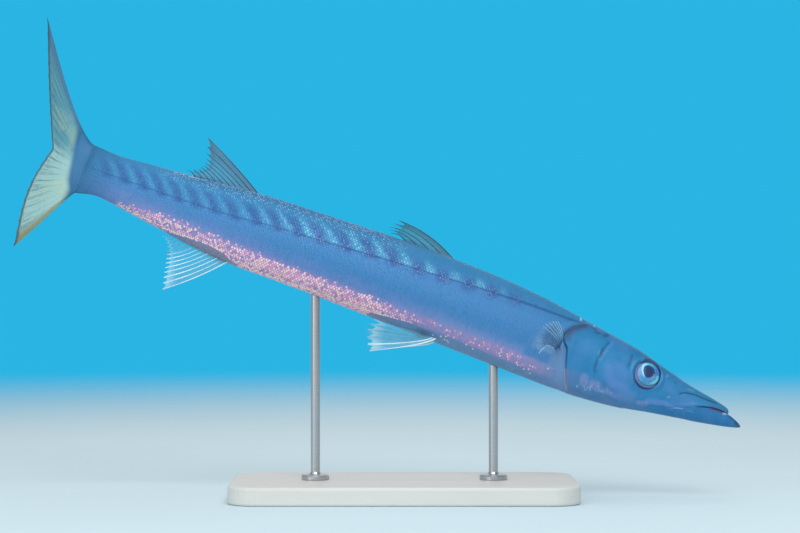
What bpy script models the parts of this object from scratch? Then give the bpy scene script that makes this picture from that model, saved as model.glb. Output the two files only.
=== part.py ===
"""A life-size barracuda, swimming nose down, held over a flat base by two rods.

The fish is drawn level first, in its own frame: X runs forward to the snout, Y to
the fish's left and Z up to its back. "along" is the distance from the tip of the
lower jaw back towards the tail. The body swings sideways along its spine, and one
empty then pitches and banks the whole fish over the stand.
"""

import math

import bmesh
import bpy
from mathutils import Vector

mm = 0.001
gap = 0.3 * mm

# pose of the fish
nose_down = math.radians(21.5)
bank = math.radians(15.0)
head_turn = math.radians(6.0)
head_turn_length = 175 * mm
tail_turn = math.radians(15.0)
tail_turn_start = 480 * mm
snout_place = Vector((291, 0, 62)) * mm

# lengths along the body
snout_tip = 13.6 * mm
snout_blunt = 2.6 * mm
jaw_blunt = 3.0 * mm
jaw_end = 4 * mm
gill_top = 150 * mm
gill_section = 160 * mm
gill_lead = 5 * mm
trunk_joint = 350 * mm
stem_joint = 455 * mm
stem_end = 610 * mm

# outlines of the body: (along, height) in millimetres, from the tip of the lower jaw
back_line = [(0, 0.3), (14, 8.6), (28, 12.4), (50, 16.2), (78, 22.8), (104, 29.8), (132, 34.2),
             (160, 38.6), (200, 43.6), (245, 45.9), (300, 45.8), (350, 44.0), (405, 40.6),
             (455, 37.4), (520, 29.4), (560, 23.8), (590, 19.2), (610, 18.8)]
belly_line = [(0, -3.0), (14, -6.6), (40, -11.6), (78, -18.2), (104, -23.4), (132, -26.8),
              (160, -28.4), (220, -28.8), (350, -28.8), (420, -29.6), (455, -30.8), (476, -30.6),
              (520, -26.8), (560, -23.2), (592, -21.6), (610, -27.0)]
side_line = [(0, 1.3), (6, 3.6), (14, 6.0), (28, 8.6), (50, 11.6), (78, 15.0), (104, 18.2), (132, 21.2),
             (165, 23.4), (230, 25.4), (300, 26.2), (370, 25.8), (430, 23.6), (490, 20.0), (545, 15.0),
             (585, 9.4), (610, 5.4)]
waist_line = [(0, -1.5), (28, 0.5), (78, 3.0), (120, 4.5), (200, 6.5), (350, 6.0), (455, 3.5), (610, -3.0)]
roundness = {"snout": 2.5, "back": 2.15, "chin": 1.9, "belly": 2.1}
roundness_change = (60 * mm, 170 * mm)

# how finely the body is drawn
rings_round = 40
corner_index = 14
jaw_sides = 8
jaw_top = 2
spine_steps = 400

# the mouth, then the joint of the lower jaw down to the throat: (along, height) in millimetres
mouth_line = [(0, -0.9), (7, 1.7), (14, 3.5), (22, 3.7), (30, 2.8), (37, 0.8), (44, -2.0), (51, -5.0),
              (60, -8.6), (72, -12.0), (86, -15.6), (96, -20.0), (104, -24.2)]
mouth_corner = 78 * mm
jaw_joint = 103.5 * mm
throat_angle = 0.74 * math.pi
throat_length = 28 * mm
jaw_gap = 0.45 * mm
lip_rise = 0.55 * mm
lip_width = 2.6 * mm
lip_fade = 12 * mm

# the groove between the snout and the upper jaw
snout_groove = [(24, 9.2), (32, 8.6), (45, 8.5), (53, 7.6), (58.5, 4.2)]
groove_depth = 0.6 * mm
groove_width = 1.1 * mm

# the gill cover
gill_edge = [(-29, 149), (-27, 151.5), (-18.5, 157.5), (-6, 162.7), (3.5, 166.0), (9.5, 171.5),
             (14.5, 171.0), (24.5, 164.5), (31, 154.5), (36, 149.5), (44, 149)]
gill_rise = 1.1 * mm
gill_rise_length = 22 * mm
gill_cover_top = 33 * mm
cheek_edge = 134 * mm
cheek_half_height = 26 * mm
cheek_fade = 10 * mm
cheek_depth = 0.7 * mm
cheek_width = 2.6 * mm

# eyes and nostrils
eye_along = 91.5 * mm
eye_height = 9.0 * mm
eye_radius = 13.0 * mm
eye_half_depth = 6.0 * mm
eye_sunk = 3.0 * mm
socket_rim_rise = 0.8 * mm
socket_rim_width = 1.9 * mm
nostrils = [(73.5, 13.6), (66.5, 12.0)]
nostril_radius = 1.25 * mm

# fins
membrane = 0.7 * mm
ray_root = 2.1 * mm
paired_root = 1.8 * mm
ray_tip = 0.8 * mm
tip_notch = 0.03
fin_rows = 5

# the roots of the paired fins: (along, height) of the first ray and the last, in millimetres
pectoral_root = ((173.5, 6.0), (177.0, -3.0))
pelvic_root = ((274, -27.8), (287, -28.0))
far_pelvic_lift = 0.7

# the tail fin's corners in the fish's own frame: (forward, left, up)
upper_tip = Vector((-683.7, -57.8, 96.0)) * mm
lower_tip = Vector((-630.4, -63.7, -98.5)) * mm
fork = Vector((-639.1, -32.2, -1.8)) * mm
upper_bulge = 1.0 * mm
lower_bulge = 6.5 * mm
upper_sag = 6.5 * mm
lower_sag = 2.5 * mm
lobe_rays = 9
lobe_rows = 7

# stand
base_size = Vector((300, 150, 16)) * mm
base_corner = 26 * mm
base_edge = 2.5 * mm
rod_radius = 4 * mm
flange_radius = 12 * mm
flange_height = 4 * mm
front_rod_along = 232 * mm
rear_rod_along = 398 * mm
rod_into_body = 14 * mm

colours = {
    "back_skin": (0.13, 0.25, 0.38), "flank_skin": (0.22, 0.36, 0.55), "head_skin": (0.16, 0.31, 0.48),
    "caudal_fin": (0.42, 0.55, 0.45), "dorsal_fin": (0.16, 0.26, 0.30), "clear_fin": (0.62, 0.78, 0.82),
    "eye": (0.55, 0.68, 0.72), "stand_base": (0.72, 0.71, 0.68), "stand_rod": (0.62, 0.63, 0.64),
}


def clear_scene():
    for thing in list(bpy.data.objects):
        bpy.data.objects.remove(thing, do_unlink=True)


def smooth_step(x):
    x = min(max(x, 0.0), 1.0)
    return x * x * (3 - 2 * x)


def blend(a, b, t):
    return a + (b - a) * t


def bell(distance, width):
    return math.exp(-((distance / width) ** 2))


def curve_through(points, across=mm):
    """A smooth function through (place, value) points: values are in millimetres, places in across."""
    xs = [p[0] * across for p in points]
    ys = [p[1] * mm for p in points]
    slopes = []
    for i in range(len(xs)):
        a, b = max(i - 1, 0), min(i + 1, len(xs) - 1)
        slopes.append((ys[b] - ys[a]) / (xs[b] - xs[a]))

    def value(x):
        x = min(max(x, xs[0]), xs[-1])
        i = 0
        while i < len(xs) - 2 and x > xs[i + 1]:
            i += 1
        h = xs[i + 1] - xs[i]
        t = (x - xs[i]) / h
        return (ys[i] * (1 + 2 * t) * (1 - t) ** 2 + ys[i + 1] * t * t * (3 - 2 * t)
                + h * slopes[i] * t * (1 - t) ** 2 - h * slopes[i + 1] * t * t * (1 - t))

    return value


back_at = curve_through(back_line)
belly_at = curve_through(belly_line)
side_at = curve_through(side_line)
waist_at = curve_through(waist_line)
mouth_at = curve_through(mouth_line)
gill_edge_at = curve_through(gill_edge)


def turn_at(along):
    """How far the spine turns towards the fish's right at this point, seen from above."""
    head = head_turn * (1 - smooth_step(along / head_turn_length))
    tail = tail_turn * max(0.0, (along - tail_turn_start) / (stem_end - tail_turn_start))
    return head, tail


def spine_points():
    """The spine from the snout back, as (x, y) at even steps, straight along X at mid-body."""
    step = stem_end / spine_steps
    points = [(0.0, 0.0)]
    for i in range(spine_steps):
        head, tail = turn_at((i + 0.5) * step)
        x, y = points[-1]
        points.append((x - step * math.cos(head - tail), y + step * math.sin(head - tail)))
    level = points[spine_steps // 2][1]
    return [(x, y - level) for x, y in points]


spine = spine_points()


def place(along, side, height):
    """A point of the level fish: side is positive to its left."""
    place_on_spine = min(max(along / stem_end, 0.0), 1.0) * spine_steps
    i = min(int(place_on_spine), spine_steps - 1)
    (x0, y0), (x1, y1) = spine[i], spine[i + 1]
    t = place_on_spine - i
    head, tail = turn_at(along)
    turn = head - tail
    x = x0 + (x1 - x0) * t
    y = y0 + (y1 - y0) * t
    past = max(along - stem_end, 0.0)
    return Vector((x + side * math.sin(turn) - past * math.cos(turn),
                   y + side * math.cos(turn) + past * math.sin(turn), height))


def powers(along):
    """How boxy the section is above and below its widest level."""
    start, end = roundness_change
    t = smooth_step((along - start) / (end - start))
    above = roundness["snout"] + (roundness["back"] - roundness["snout"]) * t
    below = roundness["chin"] + (roundness["belly"] - roundness["chin"]) * t
    return above, below


def section_point(along, angle, grow=0.0):
    """(side, height) on the section's outline; angle 0 is the ridge of the back and pi the keel."""
    above, below = powers(along)
    waist = waist_at(along)
    c, s = math.cos(angle), math.sin(angle)
    power = above if c >= 0 else below
    reach = (back_at(along) - waist if c >= 0 else waist - belly_at(along)) + grow
    width = side_at(along) + grow
    side = math.copysign(width * abs(s) ** (2 / power), s)
    height = waist + math.copysign(reach * abs(c) ** (2 / power), c)
    return side, height


def angle_at(along, height):
    """The angle, from 0 to pi, at which the section's outline has this height."""
    above, below = powers(along)
    waist = waist_at(along)
    if height >= waist:
        share = min((height - waist) / max(back_at(along) - waist, 1e-6), 1.0)
        return math.acos(share ** (above / 2))
    share = min((waist - height) / max(waist - belly_at(along), 1e-6), 1.0)
    return math.pi - math.acos(share ** (below / 2))


def skin_point(along, height, left):
    """A point on the body's side at this height, and the outward direction there."""
    sign = 1 if left else -1
    angle = angle_at(along, height)

    def at(a, b):
        side, z = section_point(a, b)
        return place(a, sign * side, z)

    here = at(along, angle)
    back = at(along + mm, angle) - at(along - mm, angle)
    down = at(along, angle + 0.02) - at(along, angle - 0.02)
    outward = back.cross(down).normalized()
    if outward.y * sign < 0:
        outward.negate()
    return here, outward


def eye_centre(left):
    surface, outward = skin_point(eye_along, eye_height, left)
    return surface - outward * eye_sunk, outward


def mesh_object(name, points, faces, colour, metallic=0.0, roughness=0.5, smooth=True):
    mesh = bpy.data.meshes.new(name)
    mesh.from_pydata([tuple(p) for p in points], [], faces)
    tidy = bmesh.new()
    tidy.from_mesh(mesh)
    bmesh.ops.remove_doubles(tidy, verts=tidy.verts, dist=0.00002)
    bmesh.ops.recalc_face_normals(tidy, faces=tidy.faces)
    if tidy.calc_volume(signed=True) < 0:
        bmesh.ops.reverse_faces(tidy, faces=tidy.faces)
    tidy.to_mesh(mesh)
    tidy.free()
    thing = bpy.data.objects.new(name, mesh)
    if smooth:
        mesh.shade_smooth()
        mesh.set_sharp_from_angle(angle=math.radians(40))
    thing.data.materials.append(material(colour, metallic, roughness))
    return thing


def material(colour, metallic, roughness):
    found = bpy.data.materials.get(colour)
    if found:
        return found
    made = bpy.data.materials.new(colour)
    made.use_nodes = True
    shader = made.node_tree.nodes["Principled BSDF"]
    shader.inputs["Base Color"].default_value = (*colours[colour], 1.0)
    shader.inputs["Metallic"].default_value = metallic
    shader.inputs["Roughness"].default_value = roughness
    return made


def loft(rings):
    """Points and faces of a closed body through the rings, capped by fans at both ends."""
    count = len(rings[0])
    points = [p for ring in rings for p in ring]
    faces = []
    for r in range(len(rings) - 1):
        for i in range(count):
            j = (i + 1) % count
            a, b = r * count + i, r * count + j
            faces.append((a, b, b + count, a + count))
    for r in (0, len(rings) - 1):
        middle = len(points)
        points.append(sum(rings[r], Vector()) / count)
        for i in range(count):
            faces.append((r * count + i, r * count + (i + 1) % count, middle))
    return points, faces


def body_ring(along, grow=0.0):
    ring = []
    for angle in head_angles(max(along, gill_section)):
        side, height = section_point(along, angle, grow)
        ring.append(place(along, side, height))
    return ring


def stations(start, end, step):
    count = max(2, round((end - start) / step))
    return [start + (end - start) * i / count for i in range(count + 1)]


# the head and the lower jaw

half_round = rings_round // 2


def mouth_angle(along):
    """The angle of the mouth's line, which past the jaw's joint becomes a plain angle."""
    if along < jaw_joint:
        return angle_at(along, mouth_at(along))
    return blend(math.pi, throat_angle, smooth_step((along - jaw_joint) / throat_length))


def head_angles(along):
    """The angles of a ring's points: one of them always lies on the mouth's line."""
    corner = mouth_angle(along)
    half = [corner * i / corner_index for i in range(corner_index + 1)]
    below = half_round - corner_index
    half += [blend(corner, math.pi, i / below) for i in range(1, below + 1)]
    return half + [-angle for angle in reversed(half[1:-1])]


def distance_to_line(points, along, height):
    """How far a point lies from a line of (along, height) points, given in millimetres."""
    nearest = 1.0
    for (a0, h0), (a1, h1) in zip(points, points[1:]):
        a, b = Vector((a0, h0)) * mm, Vector((a1, h1)) * mm
        t = min(max((Vector((along, height)) - a).dot(b - a) / (b - a).length_squared, 0.0), 1.0)
        nearest = min(nearest, (Vector((along, height)) - a.lerp(b, t)).length)
    return nearest


def head_relief(along, height, angle):
    """How far the bone and lip forms of the head stand out from its plain section."""
    on_side = smooth_step(abs(math.sin(angle)) * 2.5)
    lip_end = smooth_step((mouth_corner - along) / lip_fade)
    rise = lip_rise * bell(height - mouth_at(along), lip_width) * lip_end
    rise -= groove_depth * bell(distance_to_line(snout_groove, along, height), groove_width)
    from_eye = math.hypot(along - eye_along, height - eye_height)
    rise += socket_rim_rise * bell(from_eye - eye_radius - socket_rim_width / 2, socket_rim_width)
    cheek_end = smooth_step((cheek_half_height - abs(height)) / cheek_fade)
    rise -= cheek_depth * bell(along - cheek_edge, cheek_width) * cheek_end
    if height < gill_cover_top:
        before_edge = gill_edge_at(height) - along
        rise += gill_rise * smooth_step(1 - before_edge / gill_rise_length)
    return rise * on_side


def gill_along(angle):
    """Where the edge of the gill cover lies at this angle round the body."""
    return gill_edge_at(section_point(gill_section, angle)[1])


def head_point(along, angle, toward_gill=0.0):
    """(along, side, height) on the head's surface, with its relief."""
    here = blend(along, gill_along(angle), toward_gill)
    side, height = section_point(here, angle)
    grow = head_relief(here, height, angle)
    return here, side + grow * math.sin(angle), height + grow * math.cos(angle)


def gill_ring(beyond, blend_to=None, share=1.0):
    """A ring along the gill cover's edge, or part of the way from a plain ring to it."""
    ring = []
    for angle in head_angles(gill_section):
        here = gill_along(angle) + beyond
        if blend_to:
            here = blend(blend_to, here, share)
        side, height = section_point(here, angle)
        ring.append(place(here, side, height))
    return ring


def head_ring(along, toward_gill=0.0):
    """A ring of the head, shut by a flat floor at the mouth's line as far back as the jaw's joint."""
    ring = []
    angles = head_angles(along)
    corner = head_point(along, angles[corner_index])
    for i, angle in enumerate(angles):
        here, side, height = head_point(along, angle, toward_gill)
        step = min(i, rings_round - i)
        if along < jaw_joint and step >= corner_index:
            side = math.copysign(corner[1] * (half_round - step) / (half_round - corner_index), side)
            height = corner[2]
        ring.append(place(here, side, height))
    return ring


def jaw_ring(along):
    """A ring of the lower jaw: a flat top just under the mouth's line, then down round the chin."""
    corner_turn = mouth_angle(along)
    _, corner_side, top = head_point(along, corner_turn)
    half = [(corner_side * i / jaw_top, top - jaw_gap) for i in range(jaw_top)]
    half.append((corner_side, top - jaw_gap))
    for i in range(1, jaw_sides + 1):
        _, side, height = head_point(along, blend(corner_turn, math.pi, i / jaw_sides))
        half.append((side, min(height, top - jaw_gap)))
    whole = half + [(-side, height) for side, height in reversed(half[1:-1])]
    return [place(along, side, height) for side, height in whole]


def shrink_ring(ring, share):
    """The ring drawn in towards its middle, to round off a blunt end."""
    middle = sum(ring, Vector()) / len(ring)
    return [middle.lerp(p, share) for p in ring]


def head_rings():
    rings = []
    for share in (0.35, 0.72, 0.92):
        here = snout_tip + snout_blunt * (1 - math.sqrt(1 - share * share))
        rings.append(shrink_ring(head_ring(here), share))
    for along in stations(snout_tip + snout_blunt, jaw_joint, 4 * mm):
        rings.append(head_ring(along))
    for along in stations(jaw_joint, gill_top - gill_lead, 4.5 * mm)[1:]:
        rings.append(head_ring(along))
    for share in (0.25, 0.5, 0.75, 0.92, 1.0):
        rings.append(head_ring(gill_top - gill_lead, toward_gill=share))
    rings.append(gill_ring(0))
    return rings


def jaw_rings():
    rings = []
    for share in (0.4, 0.75, 0.93):
        here = jaw_blunt * (1 - math.sqrt(1 - share * share))
        rings.append(shrink_ring(jaw_ring(here), share))
    for along in stations(jaw_blunt, jaw_joint - jaw_end, 4 * mm):
        rings.append(jaw_ring(along))
    return rings


def cut_by(owner, thing):
    """Cuts the shape of thing out of owner and keeps thing as a hidden cutter."""
    thing.hide_render = True
    thing.display_type = "WIRE"
    bpy.data.collections["cutters"].objects.link(thing)
    cut = owner.modifiers.new(thing.name, "BOOLEAN")
    cut.operation = "DIFFERENCE"
    cut.solver = "EXACT"
    cut.object = thing


def ball(name, centre, axis, radius, half_depth, colour, segments=20, steps=10):
    """A flattened ball whose short axis points along axis."""
    shape = bmesh.new()
    bmesh.ops.create_uvsphere(shape, u_segments=segments, v_segments=steps, radius=1.0)
    turn = Vector((0, 0, 1)).rotation_difference(axis)
    for v in shape.verts:
        local = Vector((v.co.x * radius, v.co.y * radius, v.co.z * half_depth))
        v.co = centre + turn @ local
    mesh = bpy.data.meshes.new(name)
    shape.to_mesh(mesh)
    shape.free()
    mesh.shade_smooth()
    mesh.materials.append(material(colour, 0.0, 0.15))
    return bpy.data.objects.new(name, mesh)


def make_head(fish):
    head = mesh_object("head", *loft(head_rings()), "head_skin", 0.35, 0.35)
    jaw = mesh_object("lower_jaw", *loft(jaw_rings()), "head_skin", 0.35, 0.35)
    fish += [head, jaw]
    for left in (False, True):
        side = "left" if left else "right"
        centre, outward = eye_centre(left)
        fish.append(ball(f"eye_{side}", centre, outward, eye_radius, eye_half_depth, "eye"))
        cut_by(head, ball(f"socket_{side}", centre, outward, eye_radius + gap, eye_half_depth + gap, "eye"))
        for number, (along, height) in enumerate(nostrils):
            spot, facing = skin_point(along * mm, height * mm, left)
            pit = ball(f"nostril_{side}_{number}", spot, facing, nostril_radius, nostril_radius, "eye", 12, 8)
            cut_by(head, pit)


# the trunk and the tail stem

def make_trunk(fish):
    shoulder = gill_top + 24 * mm
    first = [gill_ring(gap)] + [gill_ring(gap, shoulder, share) for share in (0.6, 0.25)]
    rest = [body_ring(a) for a in stations(shoulder + 3 * mm, trunk_joint - gap / 2, 14 * mm)]
    fish.append(mesh_object("trunk_front", *loft(first + rest), "flank_skin", 0.45, 0.3))
    rear = [body_ring(a) for a in stations(trunk_joint + gap / 2, stem_joint - gap / 2, 15 * mm)]
    fish.append(mesh_object("trunk_rear", *loft(rear), "flank_skin", 0.45, 0.3))
    stem = [body_ring(a) for a in stations(stem_joint + gap / 2, stem_end, 12 * mm)]
    fish.append(mesh_object("tail_stem", *loft(stem), "back_skin", 0.45, 0.3))


# fins: a sheet of rays, u from the leading edge to the last ray and t from root to tip

def fin_object(name, sheet, root_side, rays, rows, colour, root=ray_root):
    """A closed fin whose rays stand out on both faces of its membrane."""
    columns = 2 * rays - 1
    points = []
    for sign in (1, -1):
        for c in range(columns):
            u = c / (columns - 1)
            on_ray = c % 2 == 0
            reach = 1.0 if on_ray else 1.0 - tip_notch
            for r in range(rows + 1):
                t = reach * r / rows
                across = sheet(min(u + 0.01, 1), t) - sheet(max(u - 0.01, 0), t)
                outward = sheet(u, min(t + 0.01, 1)) - sheet(u, max(t - 0.01, 0))
                normal = across.cross(outward).normalized()
                at_root = root_side(u)
                if at_root.dot(normal) < 0:
                    at_root = -at_root
                facing = at_root.normalized().lerp(normal, smooth_step(t / 0.2)).normalized()
                thick = blend(ray_tip, root, (1 - t) ** 1.3)
                if not on_ray:
                    thick = max(membrane, thick * (1 - 1.6 * t) - 0.2 * mm)
                if r == 0:
                    thick = at_root.length
                points.append(sheet(u, t) + facing * (sign * thick / 2))
    per_side = columns * (rows + 1)
    faces = []

    def index(side, c, r):
        return side * per_side + c * (rows + 1) + r

    def quad(a, b, c, d):
        faces.extend([(a, b, c), (a, c, d)])

    for c in range(columns - 1):
        for r in range(rows):
            for side in (0, 1):
                quad(index(side, c, r), index(side, c + 1, r), index(side, c + 1, r + 1), index(side, c, r + 1))
        for r in (0, rows):
            quad(index(0, c, r), index(0, c + 1, r), index(1, c + 1, r), index(1, c, r))
    for r in range(rows):
        for c in (0, columns - 1):
            quad(index(0, c, r), index(0, c, r + 1), index(1, c, r + 1), index(1, c, r))
    return mesh_object(name, points, faces, colour, 0.0, 0.45, smooth=False)


def tip_curves(tips):
    """One smooth function for each number of the rays' tips, from the first ray at 0 to the last at 1."""
    last = len(tips) - 1
    return [curve_through([(i / last, tip[k]) for i, tip in enumerate(tips)], 1.0) for k in range(len(tips[0]))]


def median_fin(name, above, root_span, tips, curl, bow, rays, colour):
    """A fin on the ridge of the back or on the keel; tips are (along, height) from first ray to last."""
    tip_along, tip_height = tip_curves(tips)
    line = back_at if above else belly_at
    side = 1 if above else -1

    def sheet(u, t):
        start = blend(*root_span, u) * mm
        base = Vector((start, line(start) + side * gap))
        tip = Vector((tip_along(u), tip_height(u)))
        reach = (tip - base).normalized()
        bend = side * bow * mm * 4 * t * (1 - t) * (1 - 0.5 * u)
        here = base.lerp(tip, t) + Vector((-reach.y, reach.x)) * bend
        return place(here.x, curl * mm * t * t * (1 - 0.5 * u), here.y)

    def root_side(u):
        start = blend(*root_span, u) * mm
        return (place(start, mm, 0) - place(start, 0, 0)).normalized() * ray_root

    return fin_object(name, sheet, root_side, rays, fin_rows, colour)


def make_median_fins(fish):
    first_tips = [(340.5, 60.8), (343.5, 56.0), (345.0, 51.6), (344.5, 48.6), (342.0, 46.6)]
    second_tips = [(522.7, 66.0), (518.5, 54.0), (516.0, 46.5), (517.0, 41.0), (520.5, 36.5), (528.0, 32.5)]
    anal_tips = [(508.5, -74.0), (512.0, -62.0), (514.5, -52.0), (517.0, -43.0), (520.5, -35.5), (526.5, -29.8)]
    fish.append(median_fin("dorsal_fin_first", True, (283, 330), first_tips, -2.0, 4.6, 5, "dorsal_fin"))
    fish.append(median_fin("dorsal_fin_second", True, (463, 521), second_tips, 3.0, 1.2, 9, "dorsal_fin"))
    fish.append(median_fin("anal_fin", False, (466, 521), anal_tips, 3.0, 1.8, 9, "clear_fin"))


def paired_fin(name, left, root_from, root_to, tips, curve, rays):
    """A fin on the body's side; tips are (back, up, out) in millimetres from each ray's root."""
    sign = 1 if left else -1
    tip_back, tip_up, tip_out = tip_curves(tips)

    def root_at(u):
        along, height = (blend(a, b, u) * mm for a, b in zip(root_from, root_to))
        surface, outward = skin_point(along, height, left)
        return surface + outward * gap, outward

    def sheet(u, t):
        start, outward = root_at(u)
        reach = Vector((-tip_back(u) * t ** 1.25, sign * tip_out(u) * t, tip_up(u) * t))
        return start + reach + outward * (curve * mm * math.sin(math.pi * t))

    def root_side(u):
        line = root_at(min(u + 0.05, 1))[0] - root_at(max(u - 0.05, 0))[0]
        return line.cross(root_at(u)[1]).normalized() * paired_root

    return fin_object(name, sheet, root_side, rays, fin_rows, "clear_fin", paired_root)


def make_paired_fins(fish):
    pectoral_tips = [(14, 3.5, 48), (19, 2, 49), (24, -3, 45), (23, -8, 38), (18, -13, 30), (11.5, -13.5, 24)]
    pelvic_tips = [(49, -34, 10), (50, -28, 11), (51, -20, 11), (49, -12, 10), (42, -5, 7)]
    for left in (False, True):
        side = "left" if left else "right"
        lift = far_pelvic_lift if left else 1
        pelvic = [(back, up * lift, out) for back, up, out in pelvic_tips]
        fish.append(paired_fin(f"pectoral_fin_{side}", left, *pectoral_root, pectoral_tips, 1.5, 8))
        fish.append(paired_fin(f"pelvic_fin_{side}", left, *pelvic_root, pelvic, 0.0, 6))


# the tail fin: two lobes from the flat end of the stem, swung towards the fish's right

def tail_lobe(name, upper):
    end = place(stem_end + gap, 0, 0)
    across = (place(stem_end, mm, 0) - place(stem_end, 0, 0)).normalized()
    side = 1 if upper else -1
    middle = (back_at(stem_end) + belly_at(stem_end)) / 2 + side * gap / 2
    edge = (back_at(stem_end) if upper else belly_at(stem_end)) * 0.985
    tip = upper_tip if upper else lower_tip
    bulge = upper_bulge if upper else lower_bulge
    sag = upper_sag if upper else lower_sag

    def sheet(u, t):
        root = Vector((end.x, end.y, blend(edge, middle, u)))
        far = tip.lerp(fork + Vector((0, 0, side * gap / 2)), u ** 0.9)
        far.x -= bulge * math.sin(math.pi * u)
        reach = far - root
        here = root + Vector((reach.x * t, reach.y * 0.5 * (t + t * t), reach.z * t))
        dip = sag * math.sin(math.pi * t ** 0.6) * (1 - u)
        return here - Vector((0.3 * dip, 0, side * dip))

    def root_side(u):
        height = blend(edge, middle, u)
        width = abs(section_point(stem_end, angle_at(stem_end, height))[0])
        return across * max(2 * width * 0.97, 1.4 * mm)

    return fin_object(name, sheet, root_side, lobe_rays, lobe_rows, "caudal_fin", ray_root * 1.2)


def make_tail_fin(fish):
    fish.append(tail_lobe("caudal_fin_upper", True))
    fish.append(tail_lobe("caudal_fin_lower", False))


# the stand

def make_base():
    bpy.ops.mesh.primitive_cube_add(size=1)
    base = bpy.context.object
    base.name = "stand_base"
    shape = bmesh.new()
    shape.from_mesh(base.data)
    bmesh.ops.scale(shape, vec=base_size, verts=shape.verts)
    upright = [e for e in shape.edges if abs(e.verts[0].co.z - e.verts[1].co.z) > base_size.z / 2]
    bmesh.ops.bevel(shape, geom=upright, offset=base_corner, segments=8, profile=0.5, affect="EDGES")
    shape.to_mesh(base.data)
    shape.free()
    base.location.z = base_size.z / 2
    edges = base.modifiers.new("edges", "BEVEL")
    edges.width = base_edge
    edges.segments = 3
    edges.limit_method = "ANGLE"
    edges.angle_limit = math.radians(50)
    base.data.materials.append(material("stand_base", 0.0, 0.4))


def turned_rod(name, x, y, top):
    """A rod with a flange at its foot, from the base up to this height."""
    foot = base_size.z + gap
    profile = [(0, top), (rod_radius, top), (rod_radius, foot + flange_height + 2.5 * mm),
               (rod_radius + 0.8 * mm, foot + flange_height + 0.6 * mm),
               (rod_radius + 2.6 * mm, foot + flange_height), (flange_radius - mm, foot + flange_height),
               (flange_radius, foot + flange_height - mm), (flange_radius, foot), (0, foot)]
    mesh = bpy.data.meshes.new(name)
    mesh.from_pydata([(r, 0, z) for r, z in profile], [(i, i + 1) for i in range(len(profile) - 1)], [])
    rod = bpy.data.objects.new(name, mesh)
    rod.location = (x, y, 0)
    turn = rod.modifiers.new("turn", "SCREW")
    turn.steps = turn.render_steps = 24
    turn.use_merge_vertices = True
    turn.merge_threshold = 0.00005
    turn.use_smooth_shade = False
    mesh.materials.append(material("stand_rod", 0.9, 0.3))
    return rod


def make_stand(pose):
    """The base and two rods, whose tops are cut to the belly they carry."""
    make_base()
    for name, along in (("stand_rod_front", front_rod_along), ("stand_rod_rear", rear_rod_along)):
        centre = pose @ place(along, 0, waist_at(along))
        belly = pose @ place(along, 0, belly_at(along))
        rod = turned_rod(name, centre.x, centre.y, belly.z + rod_into_body)
        bpy.context.collection.objects.link(rod)
        near = [body_ring(a, gap) for a in stations(along - 30 * mm, along + 30 * mm, 10 * mm)]
        shape = mesh_object(f"belly_{name}", *loft(near), "flank_skin")
        shape.matrix_world = pose
        cut_by(rod, shape)


def main():
    clear_scene()
    fish_parts = bpy.data.collections.new("barracuda")
    bpy.context.scene.collection.children.link(fish_parts)
    cutters = bpy.data.collections.new("cutters")
    bpy.context.scene.collection.children.link(cutters)
    layers = bpy.context.view_layer
    layers.active_layer_collection = layers.layer_collection.children["barracuda"]

    holder = bpy.data.objects.new("fish_pose", None)
    holder.rotation_euler = (-bank, nose_down, 0)
    holder.location = snout_place
    fish_parts.objects.link(holder)
    bpy.context.view_layer.update()

    fish = []
    make_head(fish)
    make_trunk(fish)
    make_median_fins(fish)
    make_paired_fins(fish)
    make_tail_fin(fish)
    for thing in fish:
        fish_parts.objects.link(thing)
        thing.parent = holder
    for thing in cutters.objects:
        thing.parent = holder
    make_stand(holder.matrix_world.copy())


main()
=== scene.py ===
# A life-size barracuda on a display stand: skin, scales, fins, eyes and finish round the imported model.
# The fish is drawn level in its own frame, in millimetres: X forward, Y to its left, Z up to its back.
# "along" is the distance from the tip of the lower jaw back towards the tail.

import math

import bmesh
import bpy
import numpy as np
from mathutils import Euler, Matrix, Vector


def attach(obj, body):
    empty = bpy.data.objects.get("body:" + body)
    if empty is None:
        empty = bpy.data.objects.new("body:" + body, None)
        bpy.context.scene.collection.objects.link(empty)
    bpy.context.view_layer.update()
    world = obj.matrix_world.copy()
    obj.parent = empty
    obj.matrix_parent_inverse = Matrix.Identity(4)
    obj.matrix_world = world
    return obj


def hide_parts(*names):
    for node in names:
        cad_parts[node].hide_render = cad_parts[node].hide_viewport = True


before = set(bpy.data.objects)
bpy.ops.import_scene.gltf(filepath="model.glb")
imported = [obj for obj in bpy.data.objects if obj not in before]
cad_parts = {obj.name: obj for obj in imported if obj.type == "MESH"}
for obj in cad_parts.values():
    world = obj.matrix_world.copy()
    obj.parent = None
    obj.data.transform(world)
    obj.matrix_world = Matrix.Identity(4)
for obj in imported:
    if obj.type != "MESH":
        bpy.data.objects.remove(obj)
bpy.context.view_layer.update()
mm = 0.001

# the pose and the plain form of the body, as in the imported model

pose = {
    "noseDown": 21.5, "bank": 15.0,                      # degrees
    "snoutPlace": (291.0, 0.0, 62.0),
    "headTurn": 6.0, "headTurnLength": 175.0,            # the head looks a little to the fish's right
    "tailTurn": 15.0, "tailTurnStart": 480.0,            # and so does the tail
}

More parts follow.
